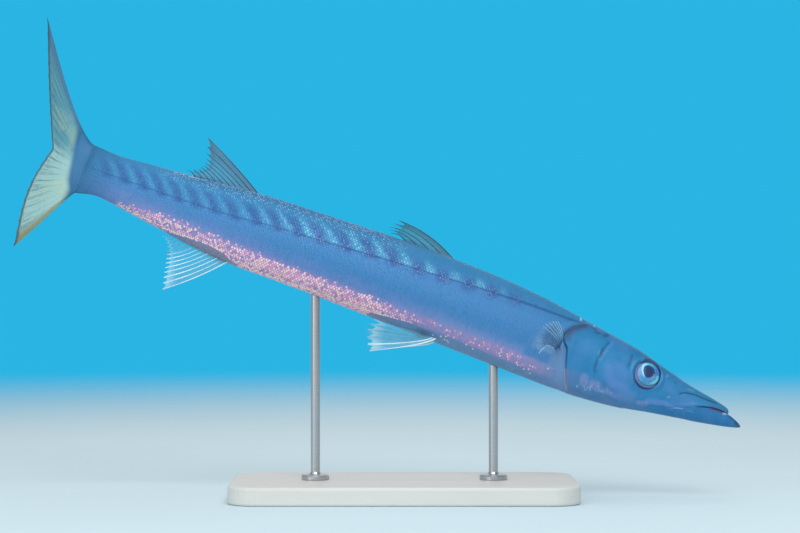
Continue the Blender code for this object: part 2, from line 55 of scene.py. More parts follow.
body = {
    "stemEnd": 610.0,
    "back": [(0, 0.3), (14, 8.6), (28, 12.4), (50, 16.2), (78, 22.8), (104, 29.8), (132, 34.2), (160, 38.6),
             (200, 43.6), (245, 45.9), (300, 45.8), (350, 44.0), (405, 40.6), (455, 37.4), (520, 29.4),
             (560, 23.8), (590, 19.2), (610, 18.8)],
    "belly": [(0, -3.0), (14, -6.6), (40, -11.6), (78, -18.2), (104, -23.4), (132, -26.8), (160, -28.4),
              (220, -28.8), (350, -28.8), (420, -29.6), (455, -30.8), (476, -30.6), (520, -26.8),
              (560, -23.2), (592, -21.6), (610, -27.0)],
    "side": [(0, 1.3), (6, 3.6), (14, 6.0), (28, 8.6), (50, 11.6), (78, 15.0), (104, 18.2), (132, 21.2),
             (165, 23.4), (230, 25.4), (300, 26.2), (370, 25.8), (430, 23.6), (490, 20.0), (545, 15.0),
             (585, 9.4), (610, 5.4)],
    "waist": [(0, -1.5), (28, 0.5), (78, 3.0), (120, 4.5), (200, 6.5), (350, 6.0), (455, 3.5), (610, -3.0)],
    "roundSnout": 2.5, "roundBack": 2.15, "roundChin": 1.9, "roundBelly": 2.1,
    "roundFrom": 60.0, "roundTo": 170.0,
}

head = {
    "snoutTip": 13.6, "snoutBlunt": 2.6, "snoutShares": (0.12, 0.3, 0.48, 0.64, 0.78, 0.89, 0.96),
    "jawBlunt": 3.0, "jawShares": (0.15, 0.35, 0.55, 0.72, 0.86, 0.95),
    "mouth": [(0, -0.9), (7, 1.7), (14, 3.5), (22, 3.7), (30, 2.8), (37, 0.8), (44, -2.0), (51, -5.0),
              (60, -8.6), (72, -12.0), (86, -15.6), (96, -20.0), (104, -24.2)],
    "jawJoint": 103.5, "throatAngle": 0.74 * math.pi, "throatLength": 28.0, "widestMouth": 0.985 * math.pi,
    "slit": [(0, 0.5), (16, 0.6), (28, 0.7), (36, 0.5), (44, 0.2)],
    "slitEnd": 42.0, "slitFade": 6.0, "jawOverlap": 1.6, "jawInset": 0.35, "palate": 1.6, "palateFade": 30.0,
    "jawTuck": 0.9, "tuckFrom": 98.0, "tuckLength": 8.0, "dish": 0.7, "dishLength": 8.0,
    "lipRise": 0.6, "lipWidth": 1.9, "lipUp": 1.4, "mouthCorner": 78.0, "lipFade": 12.0,
    "grooves": [                                         # points, depth and width
        ([(24, 9.2), (32, 8.6), (45, 8.5), (53, 7.6), (58.5, 4.2)], 0.55, 0.8),
        ([(131, 24), (134, 18), (136.3, 10), (137, 2), (136.6, -5), (133.5, -10.5), (126, -14.5), (112, -17)],
         0.75, 1.5),
        ([(109.5, 21), (109.2, 12)], 0.35, 1.1), ([(165.5, -7), (155, -11), (143, -13.5)], 0.3, 1.0),
    ],
    "disc": (118.0, -1.5, 13.5), "discRise": 0.45, "discInset": 3, "discFade": 5,
    "nostrils": [(73.5, 13.6, 0.8), (66.5, 12.0, 0.6)],
    "crestSide": 4.2, "crestWidth": 1.5, "crestRise": 0.5,
    "crestFrom": 58.0, "crestIn": 12, "crestTo": 146.0, "crestOut": 20,
}

eye = {
    "along": 91.5, "height": 9.0, "radius": 13.0, "halfDepth": 6.0, "sunk": 3.0,
    "rimRise": 0.75, "rimWidth": 1.7, "clear": 0.3, "steps": (96, 64),
}

gill = {
    "edge": [(-29, 149), (-27, 151.5), (-18.5, 157.5), (-6, 162.7), (3.5, 166), (9.5, 171.5), (14.5, 171),
             (24.5, 164.5), (31, 154.5), (36, 149.5), (44, 149)],
    "section": 160.0, "start": 145.0, "rise": 1.1, "riseLength": 22.0, "coverTop": 33.0, "topFade": 7.0,
    # the flap's free edge, ring by ring: how far behind the edge, how far out, and where it lies if shut
    "fold": [(-0.9, 0.0, -0.9), (-0.35, -0.1, -0.5), (0.0, -0.42, 0.0), (-0.05, -0.85, 0.4),
             (-1.2, -1.15, 0.8), (-2.2, -1.6, 1.2), (-1.9, -2.35, 1.7), (-0.4, -2.45, 2.3), (0.9, -2.0, 2.8),
             (2.4, -1.4, 3.4), (4.2, -1.1, 4.4)],
    "coverLength": 26, "stepBack": 1.6, "shoulder": 190.0, "shoulderRings": 15,
    "throat": -28.6, "throatFade": 5, "throatShare": 0.25,
}

skin = {
    "half": 80, "toMouth": 50, "headStep": 0.72, "bodyStep": 1.7, "tailRings": 14,
    "coatDepth": 0.3, "sideSlope": 2.5, "merge": 0.000004, "sharp": 42,
    "eyeSteps": (128, 48), "nostrilSteps": (20, 12), "nostrilDepth": 1.2,
    "jawTop": 12, "jawSide": 28, "jawStep": 0.85, "jawEnd": 107.0,
}

tail = {
    "upperTip": (-684.7, -57.9, 98.5), "lowerTip": (-630.4, -63.9, -100.7), "fork": (-639.1, -32.2, -1.8),
    "upperBulge": 1.0, "lowerBulge": 6.5, "upperSag": 6.5, "lowerSag": 2.5,
    # (height, how far behind the stem the flesh's colour reaches); it runs on along the fin's upper edge
    "flesh": [(-27, 7.0), (-18, 11.5), (0, 15.5), (19, 19.5), (30, 22.5), (45, 27.5), (60, 36.5), (98, 62.0)],
    "fleshLonger": 1.2,                                  # the flesh itself thins out further on
    "rootShare": 0.985, "forkPower": 0.9, "sagPower": 0.6, "sagForward": 0.3,
    "fleshMost": 0.8, "fleshPower": 1.35, "skinThick": 0.08,
}


def smoothStep(x):
    x = np.clip(x, 0.0, 1.0)
    return x * x * (3 - 2 * x)


def blend(a, b, t):
    return a + (b - a) * t


def bell(distance, width):
    return np.exp(-((distance / width) ** 2))


def fade(x, start, length):
    # 0 up to start and 1 from a length further on
    return smoothStep((x - start) / length)


def curveThrough(points):
    xs = np.array([p[0] for p in points], float)
    ys = np.array([p[1] for p in points], float)
    last = len(xs) - 1
    slopes = np.array([(ys[min(i + 1, last)] - ys[max(i - 1, 0)]) / (xs[min(i + 1, last)] - xs[max(i - 1, 0)])
                       for i in range(last + 1)])

    def value(x):
        x = np.clip(x, xs[0], xs[-1])
        i = np.clip(np.searchsorted(xs, x) - 1, 0, last - 1)
        h = xs[i + 1] - xs[i]
        t = (x - xs[i]) / h
        return (ys[i] * (1 + 2 * t) * (1 - t) ** 2 + ys[i + 1] * t * t * (3 - 2 * t)
                + h * slopes[i] * t * (1 - t) ** 2 - h * slopes[i + 1] * t * t * (1 - t))

    return value


backAt, bellyAt, sideAt, waistAt = (curveThrough(body[key]) for key in ("back", "belly", "side", "waist"))
mouthAt, slitAt = curveThrough(head["mouth"]), curveThrough(head["slit"])
gillEdgeAt, fleshAt = curveThrough(gill["edge"]), curveThrough(tail["flesh"])

turnMatrix = np.array(Euler((-math.radians(pose["bank"]), math.radians(pose["noseDown"]), 0)).to_matrix())
snoutPlace = np.array(pose["snoutPlace"])


def toWorld(points):
    return (np.asarray(points) @ turnMatrix.T + snoutPlace) * mm


def toFish(points):
    return (np.asarray(points) / mm - snoutPlace) @ turnMatrix


def turnAt(along):
    turned = math.radians(pose["headTurn"]) * (1 - smoothStep(along / pose["headTurnLength"]))
    start = pose["tailTurnStart"]
    past = np.maximum(0.0, (np.minimum(along, body["stemEnd"] + 2) - start) / (body["stemEnd"] - start))
    return turned - math.radians(pose["tailTurn"]) * past


spineSteps = 400
spineStep = body["stemEnd"] / spineSteps
spineTurns = turnAt((np.arange(spineSteps) + 0.5) * spineStep)
spineX = np.concatenate([[0], -np.cumsum(spineStep * np.cos(spineTurns))])
spineY = np.concatenate([[0], np.cumsum(spineStep * np.sin(spineTurns))])
spineY -= spineY[spineSteps // 2]
spineAlong = np.arange(spineSteps + 1) * spineStep


def place(along, side, height):
    turn = turnAt(along)
    past = np.maximum(along - body["stemEnd"], 0.0)
    x = np.interp(along, spineAlong, spineX) + side * np.sin(turn) - past * np.cos(turn)
    y = np.interp(along, spineAlong, spineY) + side * np.cos(turn) + past * np.sin(turn)
    return np.stack(np.broadcast_arrays(x, y, height), axis=-1)


def fishCoordinates(points):
    # the reverse of place(): along, side and height of points in the fish's own frame
    x, y, height = points[..., 0], points[..., 1], points[..., 2]
    along = np.interp(-x, -spineX, spineAlong)
    along = np.where(-x > -spineX[-1], spineAlong[-1] + (spineX[-1] - x), along)
    for _ in range(4):
        turn = turnAt(along)
        centre = place(along, 0.0, 0.0)
        along = along - (x - centre[..., 0]) * np.cos(turn) + (y - centre[..., 1]) * np.sin(turn)
    centre = place(along, 0.0, 0.0)
    side = (x - centre[..., 0]) * np.sin(turnAt(along)) + (y - centre[..., 1]) * np.cos(turnAt(along))
    return along, side, height


def powers(along):
    t = smoothStep((along - body["roundFrom"]) / (body["roundTo"] - body["roundFrom"]))
    return blend(body["roundSnout"], body["roundBack"], t), blend(body["roundChin"], body["roundBelly"], t)


def section(along, angle, grow=0.0):
    # (side, height) on the body's outline: angle 0 is the ridge of the back and pi the keel
    above, below = powers(along)
    waist = waistAt(along)
    c, s = np.cos(angle), np.sin(angle)
    power = np.where(c >= 0, above, below)
    reach = np.where(c >= 0, backAt(along) - waist, waist - bellyAt(along)) + grow
    side = np.sign(s) * (sideAt(along) + grow) * np.abs(s) ** (2 / power)
    return side, waist + np.sign(c) * reach * np.abs(c) ** (2 / power)


def angleAt(along, height):
    above, below = powers(along)
    waist = waistAt(along)
    up = np.clip((height - waist) / np.maximum(backAt(along) - waist, 1e-6), 0, 1)
    down = np.clip((waist - height) / np.maximum(waist - bellyAt(along), 1e-6), 0, 1)
    return np.where(height >= waist, np.arccos(up ** (above / 2)), np.pi - np.arccos(down ** (below / 2)))


def skinPoint(along, height, sign):
    # a point on the body's side and the outward direction there
    angle = angleAt(along, height)

    def at(a, b):
        side, z = section(a, b)
        return place(a, sign * side, z)

    here = at(along, angle)
    back = at(along + 1, angle) - at(along - 1, angle)
    outward = np.cross(back, at(along, angle + 0.02) - at(along, angle - 0.02))
    outward /= np.linalg.norm(outward)
    return here, outward * (1 if outward[1] * sign > 0 else -1)


def distanceToLine(points, along, height):
    nearest = np.full(np.shape(along), 1e6)
    for (a0, h0), (a1, h1) in zip(points, points[1:]):
        da, dh = a1 - a0, h1 - h0
        t = np.clip(((along - a0) * da + (height - h0) * dh) / (da * da + dh * dh), 0, 1)
        nearest = np.minimum(nearest, np.hypot(along - a0 - t * da, height - h0 - t * dh))
    return nearest


# mesh helpers: points are in the fish's frame, in millimetres; faces are rows of four or three indices

def linked(name, data):
    made = bpy.data.objects.new(name, data)
    bpy.context.scene.collection.objects.link(made)
    return made


def newMesh(name, points, edges, faces):
    mesh = bpy.data.meshes.new(name)
    mesh.from_pydata(toWorld(points).tolist(), edges, faces)
    return mesh


def makeMesh(name, points, faces):
    mesh = newMesh(name, points, [], faces)
    tidyMesh(mesh)
    mesh.shade_smooth()
    return linked(name, mesh)


def tidyMesh(mesh, merge=0.00001):
    tidy = bmesh.new()
    tidy.from_mesh(mesh)
    bmesh.ops.remove_doubles(tidy, verts=tidy.verts, dist=merge)
    bmesh.ops.dissolve_degenerate(tidy, edges=tidy.edges, dist=merge / 10)
    bmesh.ops.recalc_face_normals(tidy, faces=tidy.faces)
    if tidy.calc_volume(signed=True) < 0:
        bmesh.ops.reverse_faces(tidy, faces=tidy.faces)
    tidy.to_mesh(mesh)
    tidy.free()


def gridFaces(rows, columns, start=0, wrap=False):
    r = np.arange(rows - 1)[:, None]
    c = np.arange(columns if wrap else columns - 1)[None, :]
    n = (c + 1) % columns
    corners = np.stack(np.broadcast_arrays(r * columns + c, r * columns + n,
                                           (r + 1) * columns + n, (r + 1) * columns + c), axis=-1)
    return (corners.reshape(-1, 4) + start).tolist()


def loftRings(name, rings):
    # a closed body through rings of equal count, with a fan at each end
    count = len(rings[0])
    points = np.concatenate([*rings, [np.mean(rings[0], axis=0)], [np.mean(rings[-1], axis=0)]])
    faces = gridFaces(len(rings), count, wrap=True)
    for ring, middle in ((0, len(points) - 2), (len(rings) - 1, len(points) - 1)):
        faces += [[ring * count + i, ring * count + (i + 1) % count, middle] for i in range(count)]
    return makeMesh(name, points, faces)


def worldPoints(mesh):
    flat = np.empty(len(mesh.vertices) * 3, np.float32)
    mesh.vertices.foreach_get("co", flat)
    return flat.reshape(-1, 3).astype(float)


def putAttributes(mesh, values, kind="FLOAT"):
    for name, value in values.items():
        found = mesh.attributes.get(name) or mesh.attributes.new(name, kind, "POINT")
        field = "vector" if kind == "FLOAT_VECTOR" else "value"
        found.data.foreach_set(field, np.asarray(value, np.float32).ravel())


def getAttribute(mesh, name):
    values = np.empty(len(mesh.vertices), np.float32)
    mesh.attributes[name].data.foreach_get("value", values)
    return values


def applied(thing):
    # the object's evaluated mesh as plain mesh, with every modifier gone
    evaluated = thing.evaluated_get(bpy.context.evaluated_depsgraph_get())
    mesh = bpy.data.meshes.new_from_object(evaluated)
    thing.modifiers.clear()
    old = thing.data
    thing.data = mesh
    bpy.data.meshes.remove(old)
    return thing


def finished(thing, *nodes, slot=None):
    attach(thing, "root")
    if nodes:
        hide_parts(*nodes)
    return thing


# the markings, the same for skin and scales: masks worked out from a point's place on the fish

marks = {
    "line": [(135, 30), (158, 30.8), (179, 29.4), (210, 27.8), (230, 26.2), (255, 24.3), (280, 22),
             (310, 19.3), (335, 17.4), (360, 15), (380, 13.2), (400, 11.2), (420, 10), (450, 7.3), (470, 5),
             (490, 3.5), (520, 1.8), (560, 0), (590, -1.5), (615, -2.7)],
    "bars": [178, 200, 221, 243, 263.7, 287.7, 308.4, 331.5, 352, 374.2, 396.7, 416.6, 435.2, 453.3, 473.5,
             491.4, 508.9, 526, 542, 558.2, 575.7, 591.7, 608, 624],
    "lean": [(200, 0.2), (280, 0.35), (340, 0.6), (440, 0.75), (560, 0.75), (620, 0.6)],
    "curl": 0.012,                                       # how much the bars bend on towards the tail
    "pinkTop": [(150, -15), (205, -15.5), (250, -16), (300, -17), (350, -17.5), (400, -18), (440, -17.5),
                (480, -16.5), (520, -15.5), (550, -16.5), (580, -19.5)],
    "pinkBottom": [(150, -25), (240, -24.3), (280, -24), (300, -24.9), (330, -27.4), (350, -31), (440, -34),
                   (462, -30), (480, -26.2), (500, -25.8), (520, -26.4), (545, -25), (580, -23)],
    "pinkStrength": [(165, 0), (185, 0.3), (205, 0.45), (245, 0.5), (270, 0.45), (290, 0.5), (315, 0.8),
                     (345, 1), (440, 1), (470, 0.8), (540, 0.76), (566, 0.62), (582, 0)],
    "cream": [(285, -23.2), (300, -24.2), (320, -25.8), (340, -27.1), (400, -28.4), (440, -29.4),
              (462, -28.6), (475, -25.6), (500, -25.0), (520, -25.4), (550, -23.0), (580, -21.0)],
    "lip": [(24, 8.7), (32, 8.8), (40, 8.5), (45, 8.6), (50, 8.0), (54, 7.0), (57, 5.6), (60, 3.6)],
    # where along the fish the markings change, and over what length
    "onBody": (190, 50), "offBody": (596, 16), "glowFrom": (222, 30), "middle": (280, 90), "high": (290, 70),
    "rear": (400, 90),
    # bars: how far below the line they reach, and at what height above it they fade and how fast
    "under": (11.0, 5.5), "darkTop": ((0.5, 8.0), (10, 11)), "glowTop": (10.0, 18.0), "narrow": (1.1, 3.4),
    "narrowTop": (8, 14), "darkPower": 0.8,
}

# soft strokes on the skin: the points of a stroke, its width, its blur and its strength
strokes = {
    # the dark strokes: the head's dark lines and marks, with painted shade in the pectoral fin's axil
    "ink": [
        ([(98, 21.5), (94, 23), (90, 22.8), (86, 21), (82, 16), (80.6, 11)], 0.6, 1.1, 0.7),
        ([(102.6, 5), (101.4, 1.2), (99, -1.6), (95.5, -3.6), (92, -4.2), (87, -3.0), (83.2, 0)],
         0.8, 1.0, 0.9),
        ([(80.2, 10), (80.2, 5), (82, 1)], 0.8, 1.8, 0.4),
        ([(104, 6), (104, 12), (102.5, 17.5)], 0.3, 1.4, 0.4),
        ([(109.3, 20), (108.8, 15), (109.6, 10)], 0.6, 1.8, 0.45),
        ([(133.3, 22), (134.8, 16.5)], 0.3, 1.8, 0.3),
        ([(135.3, 14.5), (136, 8)], 0.9, 2.0, 0.55), ([(136.5, 3), (137, -2), (135.8, -6)], 0.5, 2.2, 0.4),
        ([(143.5, 28), (147, 27.5)], 0.5, 1.8, 0.55), ([(136, 30.5), (138, 28)], 1.2, 1.8, 0.6),
        ([(155, 31), (151, 30.6), (147, 30.2)], 0.5, 1.6, 0.5),
        ([(120, -20.9), (108, -20.7)], 0.1, 1.0, 0.25),
        ([(152, 31), (156, 30), (160.5, 27.2), (165, 23), (168.5, 18), (171, 13)], 0.6, 2.0, 0.5),
        ([(171.4, 12.6), (170.2, 9.5)], 0.6, 1.6, 0.5),
        # on the next line: painted shade in the pectoral fin's axil, then the dark edge of the jaw's tip
        ([(172.4, 3.2), (172.2, 1.6)], 1.0, 1.2, 0.95), ([(12.5, 2.0), (8, 1.1), (4, -0.8)], 0.4, 1.1, 0.6),
    ],
    # pale strokes: mostly painted glints and highlights on the lips, jaw, nape, cheek and gill cover, with a
    # few pale lines and squiggles
    "pale": [
        ([(149.6, 34.8), (149.2, 33.6)], 0.3, 1.2, 0.6), ([(74.6, 16), (74.3, 13.5)], 0.3, 1.6, 0.2),
        ([(53, -6.8), (56.5, -7.7), (60, -8.9)], 0.05, 0.75, 0.55),
        ([(68, -3), (66.7, -1.6)], 0.2, 0.8, 0.35),
        ([(17.8, 2.2), (15.8, 3.2)], 0.8, 0.8, 0.7),
        ([(133.8, -17.5), (134.4, -19.3), (133.9, -21.5)], 0.1, 0.8, 0.45),
        ([(136, -19.5), (137.2, -22.3)], 0.1, 0.9, 0.4), ([(139.5, -20.5), (138, -22.8)], 0.1, 0.9, 0.35),
        ([(145.8, -22.5), (145.3, -22.8)], 0.3, 0.8, 0.55), ([(120.6, -15), (119.6, -15.6)], 0.6, 1.4, 0.2),
        ([(126, -19), (122.5, -18.6)], 0.1, 0.8, 0.3), ([(138.4, 12), (138.4, 8)], 0.2, 1.0, 0.25),
        ([(173.9, 11), (172.4, 6.5), (170.8, 1.8)], 0.4, 1.0, 0.5),
        ([(54, 11.2), (49, 11.4)], 0.3, 1.6, 0.15),
        ([(48, -6.6), (42, -6.2)], 0.05, 0.7, 0.15),
    ],
    "lilac": [
        ([(125, 1), (124, -5), (117, -9.3), (107, -9.3)], 3.0, 5.0, 0.8),
        ([(119, 1), (112, -3)], 9.0, 7.0, 0.5),
        ([(96.5, -10), (97, -14)], 1.5, 2.5, 0.4),
        ([(84, -12), (76, -9.8), (69, -8), (62, -9)], 1.6, 2.4, 0.8),
        ([(60, -4), (48, -1)], 5.0, 5.0, 0.35), ([(100, -13), (112, -16)], 5.0, 4.0, 0.45),
        ([(152, 12), (154, -6)], 4.0, 6.0, 0.2), ([(130, 27), (118, 25)], 3.0, 5.0, 0.25),
        ([(72, 5), (64, 3)], 1.0, 4.0, 0.2),
    ],
    "rose": [
        ([(142.5, -14.5), (141.5, -18)], 3.6, 3.4, 0.45),
        ([(134.5, -17), (130, -15.6), (128.5, -17.5)], 3.2, 2.8, 0.5),
        ([(125.5, -19), (119, -18)], 0.6, 2.0, 0.4), ([(117, -17.3), (116, -17.3)], 1.0, 2.0, 0.35),
        ([(91, -15.8), (87, -15), (83.5, -13.9)], 1.0, 2.0, 0.5), ([(188, -20), (172, -20)], 2.0, 4.0, 0.4),
    ],
    "umber": [
        ([(170.2, 14.5), (167.4, 19), (163, 24.5), (157.5, 29)], 1.4, 5.0, 0.75),
        ([(169, 14.5), (168, 11.5)], 2.0, 4.0, 0.6), ([(159, 34), (157.5, 32.5)], 2.4, 3.0, 0.45),
        ([(97, 24.4), (92, 25.4)], 2.0, 2.0, 0.5), ([(5.5, -0.9), (2, -2)], 1.2, 1.5, 0.85),
    ],
}
lineAt, leanAt, creamAt, lipAt = (curveThrough(marks[key]) for key in ("line", "lean", "cream", "lip"))
pinkTopAt, pinkBottomAt, pinkStrengthAt = (
    curveThrough(marks[key]) for key in ("pinkTop", "pinkBottom", "pinkStrength"))


def strokeMask(drawn, along, height):
    mask = np.zeros(len(along))
    for points, width, blur, strength in drawn:
        away = distanceToLine(points, along, height)
        mask = np.maximum(mask, strength * smoothStep((width / 2 + blur - away) / blur))
    return mask


def markFish(mesh, withHead=False):
    along, side, height = fishCoordinates(toFish(worldPoints(mesh)))
    line = height - lineAt(along)
    above = np.maximum(line, 0)
    bars = np.array(marks["bars"], float)
    phase = np.interp(along - leanAt(along) * above - marks["curl"] * above ** 2, bars, np.arange(len(bars)))
    wave = 0.5 + 0.5 * np.cos(2 * np.pi * phase)
    onBody, glowing, middle, high, rear = (
        fade(along, *marks[key]) for key in ("onBody", "glowFrom", "middle", "high", "rear"))
    onBody = onBody * (1 - fade(along, *marks["offBody"]))
    under, reach = blend(*marks["under"], middle), blend(*marks["glowTop"], middle)
    dark = wave ** marks["darkPower"] * fade(line, -under, under - 1) * onBody
    dark = dark * (1 - 0.9 * fade(line, *[blend(*ends, high) for ends in marks["darkTop"]]))
    narrow = blend(*marks["narrow"], smoothStep(above / blend(*marks["narrowTop"], high)))
    glow = (1 - wave) ** narrow * fade(line, 0.3, 1.5) * (1 - smoothStep((line - reach + 7) / 9))
    pink = (pinkStrengthAt(along) * smoothStep((pinkTopAt(along) - height + 4.5) / 10)
            * smoothStep((height - pinkBottomAt(along) + 0.4) / 1.2))
    values = {
        "along": along, "height": height, "side": side, "line": line, "dark": dark, "pink": pink,
        "glow": glow * glowing * (1 - 0.72 * rear) * onBody,
        "strip": pinkBottomAt(along) - height, "cream": height - creamAt(along),
        "level": (height - waistAt(along)) / np.maximum(backAt(along) - waistAt(along), 1),
    }
    if withHead:
        values["past"] = along - body["stemEnd"] - fleshAt(height)
        values["gill"] = along - gillEdgeAt(height)
        values["lip"] = height - lipAt(along)
        values["mouth"] = height - mouthAt(along)
        for name, drawn in strokes.items():
            values[name] = strokeMask(drawn, along, height)
    putAttributes(mesh, values)


print("stage: shapes and helpers ready")


# shader maths written as plain expressions

class Value:
    def __init__(self, finish, socket):
        self.finish = finish
        self.socket = socket

    def __add__(self, other):
        return self.finish.maths("ADD", self, other)

    def __sub__(self, other):
        return self.finish.maths("SUBTRACT", self, other)

    def __rsub__(self, other):
        return self.finish.maths("SUBTRACT", other, self)

    def __mul__(self, other):
        return self.finish.maths("MULTIPLY", self, other)

    def __truediv__(self, other):
        return self.finish.maths("DIVIDE", self, other)

    __radd__ = __add__
    __rmul__ = __mul__


class Nodes:
    # what shaders and geometry node trees share
    def node(self, kind, settings=None, inputs=None, output=0):
        # any node: its type, its settings, then the values or links of its sockets
        made = self.tree.nodes.new(kind)
        for key, value in (settings or {}).items():
            setattr(made, key, value)
        for key, value in (inputs or {}).items():
            if isinstance(value, Value):
                value = value.socket
            if isinstance(value, bpy.types.NodeSocket):
                self.tree.links.new(value, made.inputs[key])
            else:
                made.inputs[key].default_value = value
        return self.result(made.outputs[output]) if made.outputs else None


class Finish(Nodes):
    # the shader of a new material, or of a new world
    def __init__(self, name, world=False):
        self.made = bpy.data.worlds.new(name) if world else bpy.data.materials.new(name)
        self.made.use_nodes = True
        self.tree = self.made.node_tree
        self.tree.nodes.clear()

    def result(self, socket):
        return Value(self, socket)

    def maths(self, operation, *values):
        return self.node("ShaderNodeMath", {"operation": operation}, dict(enumerate(values)))

    def capped(self, value):
        return self.maths("MINIMUM", value, 1.0)

    def attributes(self, *names):
        return [self.node("ShaderNodeAttribute", {"attribute_name": name}, output=2) for name in names]

    def soft(self, value, low, high):
        # 0 at low and beyond, 1 at high and beyond, smooth between; low may be the larger one
        return self.node("ShaderNodeMapRange", {"interpolation_type": "SMOOTHSTEP"},
                         {"Value": value, "From Min": low, "From Max": high})

    def band(self, value, low, high, blur):
        # 1 from low to high, fading to 0 over blur on each side
        return self.soft(value, low - blur, low) * self.soft(value, high + blur, high)

    def length(self, vector):
        return self.node("ShaderNodeVectorMath", {"operation": "LENGTH"}, {0: vector}, output=1)

    def spot(self, x, y, centre, radius, blur):
        return self.soft(self.length(self.combine(x - centre[0], y - centre[1], 0.0)), radius + blur, radius)

    def place(self, scale=(1, 1, 1)):
        spot = self.node("ShaderNodeTexCoord", output=3)
        return self.node("ShaderNodeMapping", {}, {"Vector": spot, "Scale": scale})

    def combine(self, x, y, z):
        return self.node("ShaderNodeCombineXYZ", {}, {0: x, 1: y, 2: z})

    def noise(self, vector, scale, detail=3.0, roughness=0.5):
        return self.node("ShaderNodeTexNoise", {}, {"Vector": vector, "Scale": scale, "Detail": detail,
                                                    "Roughness": roughness})

    def mix(self, low, high, share):
        # colours: low where share is 0 and high where it is 1
        return self.node("ShaderNodeMix", {"data_type": "RGBA"}, {0: share, 6: low, 7: high}, output=2)

    def cover(self, colour, names, *layers):
        # layers over a colour, each with its mask; a colour is given, or named in the palette
        def picked(one):
            return names[one] if isinstance(one, str) else one

        for over, mask in layers:
            colour = self.mix(picked(colour), picked(over), mask)
        return colour

    def bump(self, height, strength, distance):
        return self.node("ShaderNodeBump", {}, {"Height": height, "Strength": strength, "Distance": distance})

    def surface(self, inputs):
        shader = self.node("ShaderNodeBsdfPrincipled", {}, inputs)
        self.node("ShaderNodeOutputMaterial", {}, {"Surface": shader})
        return self.made


def paint(*screen):
    # a screen colour, 0 to 255, as the linear colour that shaders take
    def channel(v):
        v /= 255
        return v / 12.92 if v <= 0.04045 else ((v + 0.055) / 1.055) ** 2.4
    return (*[channel(v) for v in screen], 1.0)


def palette(**screen):
    return {name: paint(*colour) for name, colour in screen.items()}


# sparkle, gapDot, barDot, backDot, pinkDot, peach and magenta colour the scales' painted glints; pale the
# head's painted highlights and a few pale squiggles; brown the painted shadow at the pelvic fin's root
colours = palette(
    back=(36, 124, 172), flank=(62, 126, 182), lowFlank=(96, 130, 187), belly=(106, 146, 182),
    bellyEdge=(150, 134, 150), behindGill=(108, 144, 188), barDark=(36, 82, 144), aboveLine=(38, 124, 174),
    crown=(30, 92, 148), barLight=(66, 152, 190), barDot=(128, 144, 200), gapDot=(142, 206, 228),
    backDot=(124, 178, 206), sparkle=(214, 236, 246), pink=(160, 138, 184), veil=(120, 144, 194),
    pinkDot=(255, 214, 216), peach=(252, 198, 184), magenta=(220, 150, 192), cream=(255, 224, 208),
    line=(34, 64, 112), lineRear=(26, 86, 136), headTop=(22, 112, 166), opercle=(42, 127, 180),
    snout=(42, 121, 172), lowHead=(80, 126, 174), jaw=(40, 114, 168), lilac=(90, 134, 196),
    rose=(128, 138, 190), pale=(152, 206, 240), teal=(28, 122, 146), umber=(62, 84, 118),
    dark=(32, 58, 104), brown=(66, 82, 108), lips=(84, 76, 122), black=(22, 36, 68), edge=(160, 158, 190),
    tailFlesh=(36, 102, 146), webUpper=(98, 162, 178), webLower=(172, 212, 208), webWarm=(196, 212, 172),
    webBand=(74, 122, 154), webMargin=(60, 90, 110), webFringe=(140, 132, 78), webStreak=(70, 116, 136),
)


